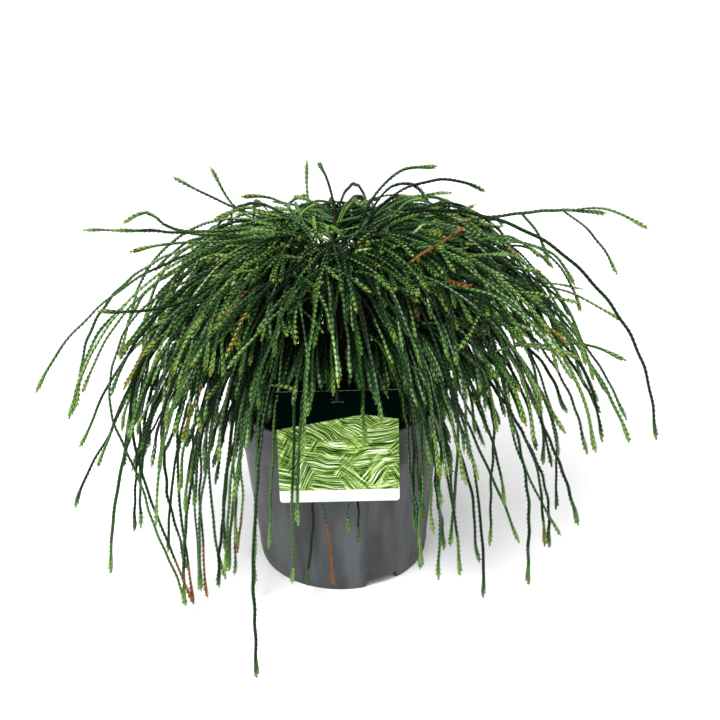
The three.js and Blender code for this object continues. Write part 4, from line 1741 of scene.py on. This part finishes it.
    def grow_mass(self, mass: Mass) -> None:
        """Grows the cords that the mass's solid has.

        Args:
            mass: The mass.
        """
        self.grow_whips(mass)
        cap = mass.layer is Layer.CAP
        wanted = self.cap_cords if cap else self.skirt_cords
        habits = CAP_HABIT if cap else SKIRT_HABIT
        for i in range(wanted * self.tries_per_cord):
            if len(mass.cords) >= wanted:
                break
            seed = self.seed + mass.number * 1009 + i * 31
            draws = Draws(seed)
            share, habit = self.drawn_habit(mass, draws, habits)
            path = self.grow_cord(mass, self.stem_point(mass.stem, share), habit)
            if not path:
                continue
            self.keep(mass, path, 0, seed)
            if draws() > self.side_share or len(path) < self.side_first + self.side_steps + 2:
                continue
            self.grow_side(mass, path, draws, seed + 7)

    def cord_point(self, mass: Mass, plan: FinePlan, draws: Draws) -> Point:
        """Draws a point on one of the mass's cords for a finer cord to leave from.

        Args:
            mass: The mass.
            plan: Where along a cord it may be.
            draws: Seeded numbers.

        Returns:
            The point.
        """
        cord = mass.cords[math.floor(draws() * len(mass.cords))]
        at = lerp(plan.first, plan.last, draws()) * (len(cord.path) - 1)
        return tuple(float(v) for v in cord.path[max(1, math.floor(at + 0.5))])

    def grow_fine(self, mass: Mass, plan: FinePlan) -> None:
        """Grows the finer cords of one order in what is left of a mass's space.

        Args:
            mass: The mass.
            plan: How many cords it gets, and how they grow.
        """
        self.order = plan.order
        self.looseness = plan.looseness
        limb = [*mass.bough[:-1], *mass.stem] if plan.root is Root.LIMB else mass.stem
        rear = plan.rear * max(0.0, -math.cos(math.radians(mass.azimuth)))
        rear += self.right_fuller * max(0.0, math.sin(math.radians(mass.azimuth)))
        thinned = plan.count * (1 - plan.thin * self.front_window(mass.azimuth))
        count = round(thinned * (1 + rear))
        wanted = len(mass.cords) + count
        # Primes keep the seeds of masses, orders and roots apart
        base = self.seed + 50021 + mass.number * 2003 + 7919 * list(Order).index(plan.order)
        base += 104729 * list(Root).index(plan.root) + 613 * plan.count
        for i in range(self.fine_tries * count):
            if len(mass.cords) >= wanted:
                break
            seed = base + i * 17
            draws = Draws(seed)
            share, habit = self.drawn_habit(mass, draws, plan.habits)
            if plan.root is Root.CORD:
                root = self.cord_point(mass, plan, draws)
                inwards = abs(turn_between(habit.azimuth, azimuth_of(root))) > 90
                if inwards and math.hypot(root[0], root[1]) > self.outward_from:
                    continue
            else:
                root = self.stem_point(limb, lerp(plan.first, plan.last, share))
            habit = replace(habit, drift=habit.drift + plan.wander * (draws() - 0.5))
            self.headroom = self.stand_out * draws() ** 5
            self.outreach = self.least_outreach + self.more_outreach * draws() ** 2
            path = self.grow_cord(mass, root, habit)
            if not path:
                continue
            self.keep(mass, path, 0, seed)
            if draws() < plan.sides and len(path) > self.side_first + 4:
                self.grow_side(mass, path, draws, seed + 7)
        self.looseness = 1.0

    def grow_front(self) -> None:
        """Grows the few cords that hang in the open front and alone round the pot."""
        labels = {mass.label: mass for mass in self.masses}
        self.order = Order.BODY
        for i, (owner, share, *values) in enumerate(FRONT_CORDS):
            root = self.stem_point(labels[owner].stem, share)
            self.grow_listed(labels[owner], root, values, 0, FRONT_SEED + i)
        for i, (owner, dead, *points) in enumerate(DRAWN_CORDS):
            root = self.stem_point(labels[owner].stem, self.drawn_root)
            self.keep(labels[owner], [root, *points], 0, LISTED_SEED + i).dead = dead

    def reload(self, masses: Sequence[Mass]) -> None:
        """Puts all the limbs, and the cords of some masses, in place anew.

        Args:
            masses: Masses whose cords are put in place.
        """
        self.lengths = []
        for mass in self.masses:
            self.place(mass.bough, self.bough_foot, -1 - mass.number)
            self.place(mass.stem, self.bough_tip, mass.number)
        for mass in masses:
            for cord in mass.cords:
                self.place(cord.path, self.rule.radius, mass.number)

    def lay_out(self) -> None:
        """Lays out the masses in order, with their azimuths, widths and limbs."""
        firsts = {Layer.CAP: (self.caps, self.cap_first), Layer.SKIRT: (self.skirts, self.skirt_first)}
        for layer, (count, first) in firsts.items():
            for i in range(count):
                azimuth = first + 360 / count * i
                self.masses.append(Mass(layer, i, len(self.masses), azimuth, 180 / count))
        for mass in self.masses:
            mass.stem = self.mass_stem(mass)
            mass.bough = self.bough_path(mass)
            self.place(mass.stem, self.bough_tip, mass.number)
            self.place(mass.bough, self.bough_foot, -1 - mass.number)

    def grow(self) -> None:
        """Grows the whole crown."""
        low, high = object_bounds()
        self.reach = (Vector(low) / MM, Vector(high) / MM)
        self.lay_out()
        for mass in self.masses:
            self.grow_mass(mass)
        leads = sum(len(mass.cords) for mass in self.masses)
        self.rule = FINE_RULE
        for mass in self.masses:
            if mass.layer is Layer.SKIRT and self.front_window(mass.azimuth) > 0.5:
                whips = [cord for cord in mass.cords if cord.seed < FIRST_DRAWN_SEED]
                others = [
                    cord for cord in mass.cords
                    if cord.seed >= FIRST_DRAWN_SEED and not any(map(self.before_card, cord.path))
                ]
                mass.cords = whips + others[: self.front_leads]
        self.reload(self.masses)
        self.grow_front()
        for mass in self.masses:
            self.reload([mass])
            for plan in FINE_PLANS:
                if plan.layer is mass.layer:
                    self.grow_fine(mass, plan)
        caps = [mass for mass in self.masses if mass.layer is Layer.CAP]
        self.reload(caps)
        for plan in CREST_PLANS:
            for mass in caps:
                self.grow_fine(mass, plan)
        total = sum(len(mass.cords) for mass in self.masses)
        LOG.info("crown: %d lead cords, %d cords in all", leads, total)


# Wood


@dataclass
class Woodwork:
    """Trunk, boughs, stems and the bare foot of the woody whip, with bark in relief."""

    trunk_rings: tuple[tuple[float, float], ...] = (
        (0, 14), (1.2, 12.6), (2.5, 11.6), (5, 10.7), (8, 10), (14, 9.5),
        (22, 9), (31, 8.5), (40, 8), (43, 7.4), (46, 6.4),
    )
    trunk_sides: int = 28
    limb_sides: int = 10
    bough_foot: float = 3.3
    stem_tip: float = 1.0
    whip_foot: float = 2.4
    whip_tip: float = 1.7
    relief: float = 0.09
    seam: Point = (0.31, 0.87, 0.11)
    furrows_round: float = 3.1
    furrows_per_mm: float = 0.035
    spacing: float = 4.5
    smooth_below: float = 60.0
    finish: BarkFinish = field(default_factory=BarkFinish)
    young: BarkFinish = BarkFinish("young_bark", "#3a3021", "#7c6c4c", 1.6)

    def ring(self, centre: np.ndarray, along: np.ndarray, radius: float, sides: int) -> np.ndarray:
        """Returns one ring of a limb, furrowed by the bark.

        Args:
            centre: Point of the axis in millimetres.
            along: Unit direction of the limb.
            radius: Radius in millimetres.
            sides: Corners of the ring.

        Returns:
            Corner places in metres.
        """
        across = np.cross(along, self.seam)
        across /= np.linalg.norm(across)
        side = np.cross(along, across)
        places = []
        for k in range(sides):
            turn = 2 * math.pi * k / sides
            out = across * math.cos(turn) + side * math.sin(turn)
            spot = Vector(out * self.furrows_round + centre * self.furrows_per_mm)
            furrow = noise.noise(spot * 2) + 0.6 * noise.noise(spot * 5)
            places.append((centre + out * radius * (1 + self.relief * furrow)) * MM)
        return np.array(places)

    def limb(self, name: str, path: np.ndarray, radii: np.ndarray, sides: int) -> Piece:
        """Builds one limb along a path.

        Args:
            name: Name of the piece.
            path: Points in millimetres.
            radii: Radius at each point.
            sides: Corners of a ring.

        Returns:
            The limb.
        """
        along = np.gradient(path, axis=0)
        along /= np.linalg.norm(along, axis=1)[:, None]
        rings = [self.ring(p, t, r, sides) for p, t, r in zip(path, along, radii)]
        return ringed_form(name, rings)

    def trunk(self, growth: Growth) -> Piece:
        """Builds the trunk with its flare and its flat foot.

        Args:
            growth: The grown plant.

        Returns:
            The trunk.
        """
        path = np.array([growth.trunk_point(height) for height, _ in self.trunk_rings])
        radii = np.array([radius for _, radius in self.trunk_rings])
        piece = self.limb("trunk_wood", path, radii, self.trunk_sides)
        floor = growth.soil * MM
        for corner in piece.data.vertices:
            corner.co.z = max(corner.co.z, floor)
        return piece

    def boughs(self, growth: Growth) -> Piece:
        """Builds all the boughs and stems as one piece.

        Args:
            growth: The grown plant.

        Returns:
            The joined limbs.
        """
        limbs = []
        for mass in growth.masses:
            path = smooth_path(np.array([*mass.bough[:-1], *mass.stem]), self.spacing)
            radii = np.linspace(self.bough_foot, self.stem_tip, len(path))
            limbs.append(self.limb("bough_wood", path, radii, self.limb_sides))
        make_active(limbs[0])
        for limb in limbs:
            limb.select_set(True)
        bpy.ops.object.join()
        return limbs[0]

    def whip(self, growth: Growth) -> Piece:
        """Builds the foot of the woody whip, which has no leaves.

        Args:
            growth: The grown plant.

        Returns:
            The whip's wood.
        """
        cord = next(cord for mass in growth.masses for cord in mass.cords if cord.bare)
        count = int(cord.bare / self.spacing) + 2
        radii = np.linspace(self.whip_foot, self.whip_tip, count)
        path = smooth_path(cord.path, self.spacing)[:count]
        return self.limb("whip_wood", path, radii, self.limb_sides)

    def build(self, growth: Growth) -> None:
        """Builds and dresses all the wood.

        Args:
            growth: The grown plant.
        """
        bark = self.finish.material()
        boughs = [f"bough_{mass.label}" for mass in growth.masses]
        for piece, material, nodes in (
            (self.trunk(growth), bark, ["trunk"]),
            (self.boughs(growth), bark, boughs),
            (self.whip(growth), self.young.material(), ()),
        ):
            smooth_shade(piece, self.smooth_below)
            settle(piece, material, nodes)


# Foliage


class Tint(Enum):
    """Leaf colours, dealt out by cord and by stretch of a cord. The first five are partly the leaves'
    own greens and partly painted shade and light, as deeper cords draw darker ones; TIP, GOLD and RUST
    are the leaves' own colours.
    """

    SHADE = "#0c1b0d"
    DEEP = "#162f15"
    FOREST = "#294a1e"
    GRASS = "#44682b"
    FRESH = "#608039"
    TIP = "#68752f"
    GOLD = "#736a2f"
    RUST = "#744a28"

    @property
    def rank(self) -> int:
        """Returns the tint's place in the order above."""
        return list(Tint).index(self)


@dataclass
class Foliage:
    """Cords of scale leaves: a slim core with crossed pairs of pressed pointed leaves."""

    spacing: float = 2.75
    radius: float = 1.44
    lead_radius: float = 1.56
    core_share: float = 0.82
    core_point: float = 0.3
    leaf_foot: float = 0.1
    leaf_middle: float = 0.85
    leaf_tip: float = 2.2
    leaf_width: float = 0.86
    edge_out: float = 0.56
    foot_out: float = 0.5
    flare: float = 1.62
    closed_pairs: float = 1.5
    closed_tip: float = 1.5
    closed_flare: float = 0.06
    root_share: float = 0.8
    root_length: float = 70.0
    tip_swell: float = 1.6
    swell_back: float = 10.0
    tip_point: float = 0.75
    tip_length: float = 15.0
    tip_coloured: float = 8.5
    fresh_length: float = 36.0
    wobble: float = 2.0
    lead_wobble: float = 0.7
    wobble_from: float = 60.0
    kink: float = 0.6
    any_turn: float = 6.3
    # Share of cords whose every second leaf pair is one tint darker, as painted shade between lit
    # leaves
    alternate_pair_shade: float = 0.3
    core_every: int = 4
    # How deep a cord lies under the crown's outside, with the offsets below, deals its leaf tints:
    # deeper cords get darker tints as painted shade, and crest cords count nearer, as painted light on
    # the top
    heart: Point = (0.0, 0.0, 270.0)
    cell: float = 12.0
    outer_percentile: float = 84.0
    front_painted_shade: float = 36.0
    skirt_painted_shade: float = 26.0
    right_painted_shade: float = 36.0
    depth_shade_shares: tuple[tuple[float, tuple[float, ...]], ...] = (
        (4.0, (0.0, 0.08, 0.36, 0.38, 0.18)),
        (16.0, (0.03, 0.26, 0.4, 0.25, 0.06)),
        (34.0, (0.18, 0.48, 0.28, 0.06, 0.0)),
        (math.inf, (0.32, 0.48, 0.19, 0.01, 0.0)),
    )
    # Inner cords that face the front or the back are almost all painted shade, for the dark inside of
    # the crown
    inner_shade_shares: tuple[float, ...] = (0.84, 0.14, 0.02, 0.0, 0.0)
    inner_facing: float = 0.55
    whip_shares: tuple[float, ...] = (0.04, 0.3, 0.46, 0.18, 0.02)
    crest_painted_light: float = 14.0
    rust_stretch: float = 0.002
    rust_end: float = 0.002
    gold_share: float = 0.012
    gold_from: float = 0.75
    tip_share: float = 0.65
    # Tips are coloured only on cords less deep than this, so deeper tips keep their painted shade
    tip_shade_limit: float = 40.0
    roughness: float = 0.36
    shiny: tuple[Tint, ...] = (Tint.FOREST, Tint.GRASS, Tint.FRESH)
    leaf_shine: float = 0.38
    shaded_shine: float = 0.12
    # Near-black core seen between the leaf pairs: painted shade in the gaps between the leaves
    core_shade_finish: PlainFinish = PlainFinish("cord_core_painted_shade", "#0e1b10", 0.8, 0.1)

    def measure_shade_depths(self, growth: Growth) -> None:
        """Works out each cord's depth under the crown's outside, which picks its painted shade.

        Args:
            growth: The grown plant.
        """
        spans = []
        for mass, cord in ((mass, cord) for mass in growth.masses for cord in mass.cords):
            # Skirt cords count deeper than cap cords: painted shade under the cap
            cord.depth = self.skirt_painted_shade if mass.layer is Layer.SKIRT else 0.0
            line = smooth_path(cord.path, 12.0)
            away = line[len(line) // 4 :] - np.array(self.heart)
            reach = np.linalg.norm(away, axis=1)
            turn = np.degrees(np.arctan2(away[:, 0], -away[:, 1])) + 180
            rise = np.degrees(np.arcsin(away[:, 2] / reach)) + 90
            keys = (turn // self.cell) * 100 + rise // self.cell
            spans.append((cord, reach, keys.astype(int)))
        reaches = np.concatenate([reach for _, reach, _ in spans])
        keys = np.concatenate([key for _, _, key in spans])
        outside = np.zeros(keys.max() + 1)
        for key in np.unique(keys):
            outside[key] = np.percentile(reaches[keys == key], self.outer_percentile)
        for cord, reach, key in spans:
            cord.depth += float(np.mean(outside[key] - reach))
            # Crest cords count nearer: painted light on the top of the crown
            if cord.order is Order.CREST:
                cord.depth -= self.crest_painted_light
            # Cords in the open front and on the right side count deeper: painted shade
            middle = cord.path[len(cord.path) // 2]
            cord.depth += self.front_painted_shade * growth.front_window(azimuth_of(middle))
            sideways = math.sin(math.radians(azimuth_of(middle)))
            cord.depth += self.right_painted_shade * max(0.0, sideways)

    def tints(self, cord: Cord, count: int, draws: Draws) -> np.ndarray:
        """Deals the leaf colours of one cord.

        Args:
            cord: The cord.
            count: Number of leaf pairs.
            draws: Seeded numbers.

        Returns:
            Index of the tint for each leaf pair.
        """
        inner = cord.order is Order.INNER
        # Deeper cords draw darker tints as painted shade; whips keep their own mix
        weights = next(w for limit, w in self.depth_shade_shares if cord.depth < limit)
        if cord.seed < FIRST_DRAWN_SEED:
            weights = self.whip_shares
        middle = cord.path[len(cord.path) // 2]
        if inner and abs(math.cos(math.radians(azimuth_of(middle)))) > self.inner_facing:
            weights = self.inner_shade_shares
        pick = draws()
        base = 0
        while base < 4 and pick > sum(weights[: base + 1]):
            base += 1
        kinds = np.full(count, base)
        turn = base + (1 if draws() < 0.5 else -1)
        kinds[: int(count * (0.2 + 0.5 * draws()))] = min(max(turn, 0), 3)
        at = np.arange(count) * self.spacing
        total = count * self.spacing
        fresh, rust = Tint.FRESH.rank, Tint.RUST.rank
        # Painted shade: every second leaf pair one tint darker
        if draws() < self.alternate_pair_shade:
            kinds[1::2] = np.maximum(kinds[1::2] - 1, 0)
        if cord.dead:
            kinds[at > total * (1 - cord.dead)] = rust
            return kinds
        newer = self.fresh_length * (0.5 + draws())
        kinds[at > total - newer] = min(base + 1, fresh)
        kinds[at > total - newer * 0.5] = min(base + 2, fresh)
        fate = draws()
        if inner:
            return kinds
        if fate < self.rust_end and cord.order is not Order.LEAD:
            kinds[at > total * (0.35 + 0.5 * draws())] = rust
            return kinds
        if fate < self.rust_end + self.rust_stretch:
            start = total * 0.75 * draws()
            span = 18 + 45 * draws()
            kinds[(at > start) & (at < start + span)] = rust
        elif fate < self.rust_end + self.rust_stretch + self.gold_share:
            kinds[at > total * self.gold_from] = Tint.GOLD.rank
        # Deep cords keep painted shade at their tips
        if draws() < self.tip_share and cord.depth < self.tip_shade_limit:
            kinds[at > total - self.tip_coloured] = Tint.TIP.rank
        return kinds

    def dress_cord(self, cord: Cord, store: dict[str, list]) -> None:
        """Works out the leaf pairs and the core of one cord.

        Args:
            cord: The cord.
            store: Lists that the arrays are added to.
        """
        draws = Draws(cord.seed * 7 + 11)
        lead = cord.order is Order.LEAD
        line = smooth_path(cord.path, self.spacing, 0 if lead else 2)
        count = len(line)
        at = np.linspace(0, 1, count) * (count - 1) * self.spacing
        heading = line[-1] - line[0]
        side = np.array([-heading[1], heading[0], 0.0])
        side /= max(np.linalg.norm(side), 1e-6)
        up = np.cross(heading / max(np.linalg.norm(heading), 1e-6), side)
        wobble = self.lead_wobble if lead else self.wobble
        for axis in (side, up):
            wave = np.sin(at / (12 + 16 * draws()) + self.any_turn * draws()) * wobble * draws()
            wave += np.sin(at / (4.5 + 4 * draws()) + self.any_turn * draws()) * self.kink * draws()
            line = line + axis * (wave * np.minimum(at / self.wobble_from, 1))[:, None]
        along = np.gradient(line, axis=0)
        along /= np.linalg.norm(along, axis=1)[:, None]
        normal = side - along * (along @ side)[:, None]
        normal /= np.linalg.norm(normal, axis=1)[:, None]
        cross = np.cross(along, normal)
        twist = self.any_turn * draws() + at * (0.012 * (draws() - 0.5))
        n = normal * np.cos(twist)[:, None] + cross * np.sin(twist)[:, None]
        b = cross * np.cos(twist)[:, None] - normal * np.sin(twist)[:, None]
        left = at[-1] - at
        size = (self.lead_radius if lead else self.radius) * (0.88 + 0.24 * draws())
        size = size * (self.root_share + (1 - self.root_share) * np.minimum(at / self.root_length, 1))
        swell = np.clip(1 - np.abs(left - self.swell_back) / self.tip_length, 0, 1)
        size = size * (1 + (self.tip_swell - 1) * swell)
        size = size * np.minimum(self.tip_point + left / self.tip_length, 1)
        kinds = self.tints(cord, count, draws)
        leafed = at >= cord.bare
        odd = (np.arange(count) % 2 == 1)[:, None]
        pairs = {
            "place": line,
            "along": along,
            "out": np.where(odd, n, b),
            "side": np.where(odd, b, -n),
            "size": size,
            "close": left < self.spacing * self.closed_pairs,
            "kind": kinds,
        }
        for key, values in pairs.items():
            store[key].append(values[leafed])
        rings = list(range(0, count - 1, self.core_every)) + [count - 1]
        core = []
        for turn in (0.25, 0.75, 1.25, 1.75):
            spoke = n[rings] * math.cos(turn * math.pi) + b[rings] * math.sin(turn * math.pi)
            spoke *= (size[rings] * self.core_share)[:, None]
            spoke[-1] *= self.core_point
            core.append(line[rings] + spoke)
        store["core"].append(np.stack(core, axis=1))

    def core_mesh(self, rings: Sequence[np.ndarray]) -> Arrays:
        """Joins the rings of all the cores into one mesh.

        Args:
            rings: Corners of the rings of each core.

        Returns:
            Corner places in metres and triangles.
        """
        triangles = []
        base = 0
        for ring in rings:
            grid = base + np.arange(len(ring) * 4).reshape(-1, 4)
            turned = np.roll(grid, -1, axis=1)
            for corners in ((grid[:-1], turned[:-1], turned[1:]), (grid[:-1], turned[1:], grid[1:])):
                triangles.append(np.stack(corners, axis=-1).reshape(-1, 3))
            triangles.append(np.array([grid[0, [0, 2, 1]], grid[0, [0, 3, 2]]]))
            triangles.append(np.array([grid[-1, [0, 1, 2]], grid[-1, [0, 2, 3]]]))
            base += grid.size
        return np.concatenate(rings).reshape(-1, 3) * MM, np.concatenate(triangles)

    def leaf_mesh(self, rows: dict[str, np.ndarray], mask: np.ndarray) -> Arrays:
        """Makes the leaves of one tint: pointed kites folded along their keel.

        Args:
            rows: Arrays of all the leaf pairs.
            mask: True for the pairs of this tint.

        Returns:
            Corner places in metres and triangles.
        """
        place, along = rows["place"][mask], rows["along"][mask] * self.spacing
        size = rows["size"][mask][:, None]
        close = rows["close"][mask][:, None]
        corners = []
        for sign in (1, -1):
            out = rows["out"][mask] * sign * size
            side = rows["side"][mask] * sign * size
            foot = place - along * self.leaf_foot + out * self.foot_out
            middle = place + along * self.leaf_middle + out * self.edge_out
            tip_out = np.where(close, self.closed_flare, self.flare)
            tip_up = np.where(close, self.closed_tip, self.leaf_tip)
            tip = place + along * tip_up + out * tip_out
            left, right = middle + side * self.leaf_width, middle - side * self.leaf_width
            corners.append(np.stack([foot, left, right, tip], axis=1))
        points = np.concatenate(corners).reshape(-1, 3) * MM
        kite = np.array([(0, 3, 1), (0, 2, 3)])
        count = 2 * int(mask.sum())
        triangles = (kite[None] + 4 * np.arange(count)[:, None, None]).reshape(-1, 3)
        return points, triangles

    def build(self, growth: Growth) -> None:
        """Builds and dresses the foliage of both layers, each kind in its own pieces.

        Args:
            growth: The grown plant.
        """
        self.measure_shade_depths(growth)
        for layer in Layer:
            masses = [mass for mass in growth.masses if mass.layer is layer]
            nodes = [f"foliage_{mass.label}" for mass in masses]
            store: dict[str, list] = defaultdict(list)
            for mass in masses:
                for cord in mass.cords:
                    self.dress_cord(cord, store)
            piece = mesh_of_arrays(f"{layer.value}_twigs", *self.core_mesh(store.pop("core")))
            # The core's dark colour is painted shade between the leaves
            settle(piece, self.core_shade_finish.material(), nodes)
            rows = {key: np.concatenate(value) for key, value in store.items()}
            for tint in Tint:
                mask = rows["kind"] == tint.rank
                if not mask.any():
                    continue
                name = tint.name.lower()
                shine = self.leaf_shine if tint in self.shiny else self.shaded_shine
                finish = PlainFinish(f"scale_leaf_{name}", tint.value, self.roughness, shine)
                leaves = self.leaf_mesh(rows, mask)
                piece = mesh_of_arrays(f"{layer.value}_leaves_{name}", *leaves)
                settle(piece, finish.material(), nodes)


# Studio


@dataclass
class Studio:
    """White floor and soft light, with the camera where the photograph was taken from."""

    camera_place: Point = (0.0239, -1.163, 0.811)
    camera_fall: float = 26.33
    camera_roll: float = -1.29
    lens_mm: float = 59.5
    sensor_mm: float = 36.0
    far: float = 60.0
    floor_size: float = 30.0
    sky_low: float = 0.34
    sky_high: float = 1.42
    lit_point: Point = (0.0, 0.0, 0.25)
    lights: tuple[tuple[str, Point, float, float], ...] = (
        ("key_light", (-0.7, -1.0, 1.9), 1.1, 60.0),
        ("fill_light", (1.3, -0.9, 1.2), 1.4, 6.0),
    )

    def add_camera(self) -> None:
        """Adds the camera."""
        data = bpy.data.cameras.new("view")
        data.lens = self.lens_mm
        data.sensor_width = self.sensor_mm
        data.clip_end = self.far
        camera = bpy.data.objects.new("view", data)
        turn = Matrix.Rotation(math.radians(90 - self.camera_fall), 4, "X")
        roll = Matrix.Rotation(math.radians(self.camera_roll), 4, "Z")
        camera.matrix_world = Matrix.Translation(self.camera_place) @ turn @ roll
        bpy.context.scene.collection.objects.link(camera)
        bpy.context.scene.camera = camera

    def add_floor(self) -> None:
        """Adds the pale floor."""
        deselect_all()
        bpy.ops.mesh.primitive_plane_add(size=self.floor_size, location=(0, 0, 0))
        floor = bpy.context.active_object
        floor.name = "floor"
        floor.data.materials.append(PlainFinish("matt_white_board", "#fbfbfb", 0.9).material())
        floor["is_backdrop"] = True

    def add_light(self, name: str, place: Point, size: float, watts: float) -> None:
        """Adds one soft light that faces the crown.

        Args:
            name: Name of the light.
            place: Its place in metres.
            size: Its width in metres.
            watts: Its power.
        """
        data = bpy.data.lights.new(name, "AREA")
        data.shape = "DISK"
        data.size = size
        data.energy = watts
        light = bpy.data.objects.new(name, data)
        away = Vector(place) - Vector(self.lit_point)
        light.location = place
        light.rotation_euler = away.to_track_quat("Z", "Y").to_euler()
        bpy.context.scene.collection.objects.link(light)

    def build(self) -> None:
        """Builds the camera, the floor, the lights and the white surroundings."""
        self.add_camera()
        self.add_floor()
        for light in self.lights:
            self.add_light(*light)
        world = bpy.data.worlds.new("white_room")
        world.use_nodes = True
        tree = world.node_tree
        tree.nodes.clear()
        place = add_node(tree, "TexCoord").outputs["Generated"]
        height = add_node(tree, "SeparateXYZ", links={"Vector": place}).outputs["Z"]
        levels = {"To Min": self.sky_low, "To Max": self.sky_high}
        glow = add_node(tree, "MapRange", levels, {"Value": height})
        sky = add_node(tree, "Background", {"Color": (1, 1, 1, 1)}, {"Strength": glow})
        add_node(tree, "OutputWorld", links={"Surface": sky})
        bpy.context.scene.world = world
        bpy.context.scene.view_settings.view_transform = "Standard"


def main() -> None:
    """Builds every sub-assembly in order."""
    logging.basicConfig(level=logging.INFO, format="%(name)s: %(message)s")
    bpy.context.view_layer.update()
    growth = Growth()
    growth.grow()
    NurseryPot().build()
    PottingMix().build()
    CardAndTie().build()
    Woodwork().build(growth)
    Foliage().build(growth)
    Studio().build()


if __name__ == "__main__":
    main()
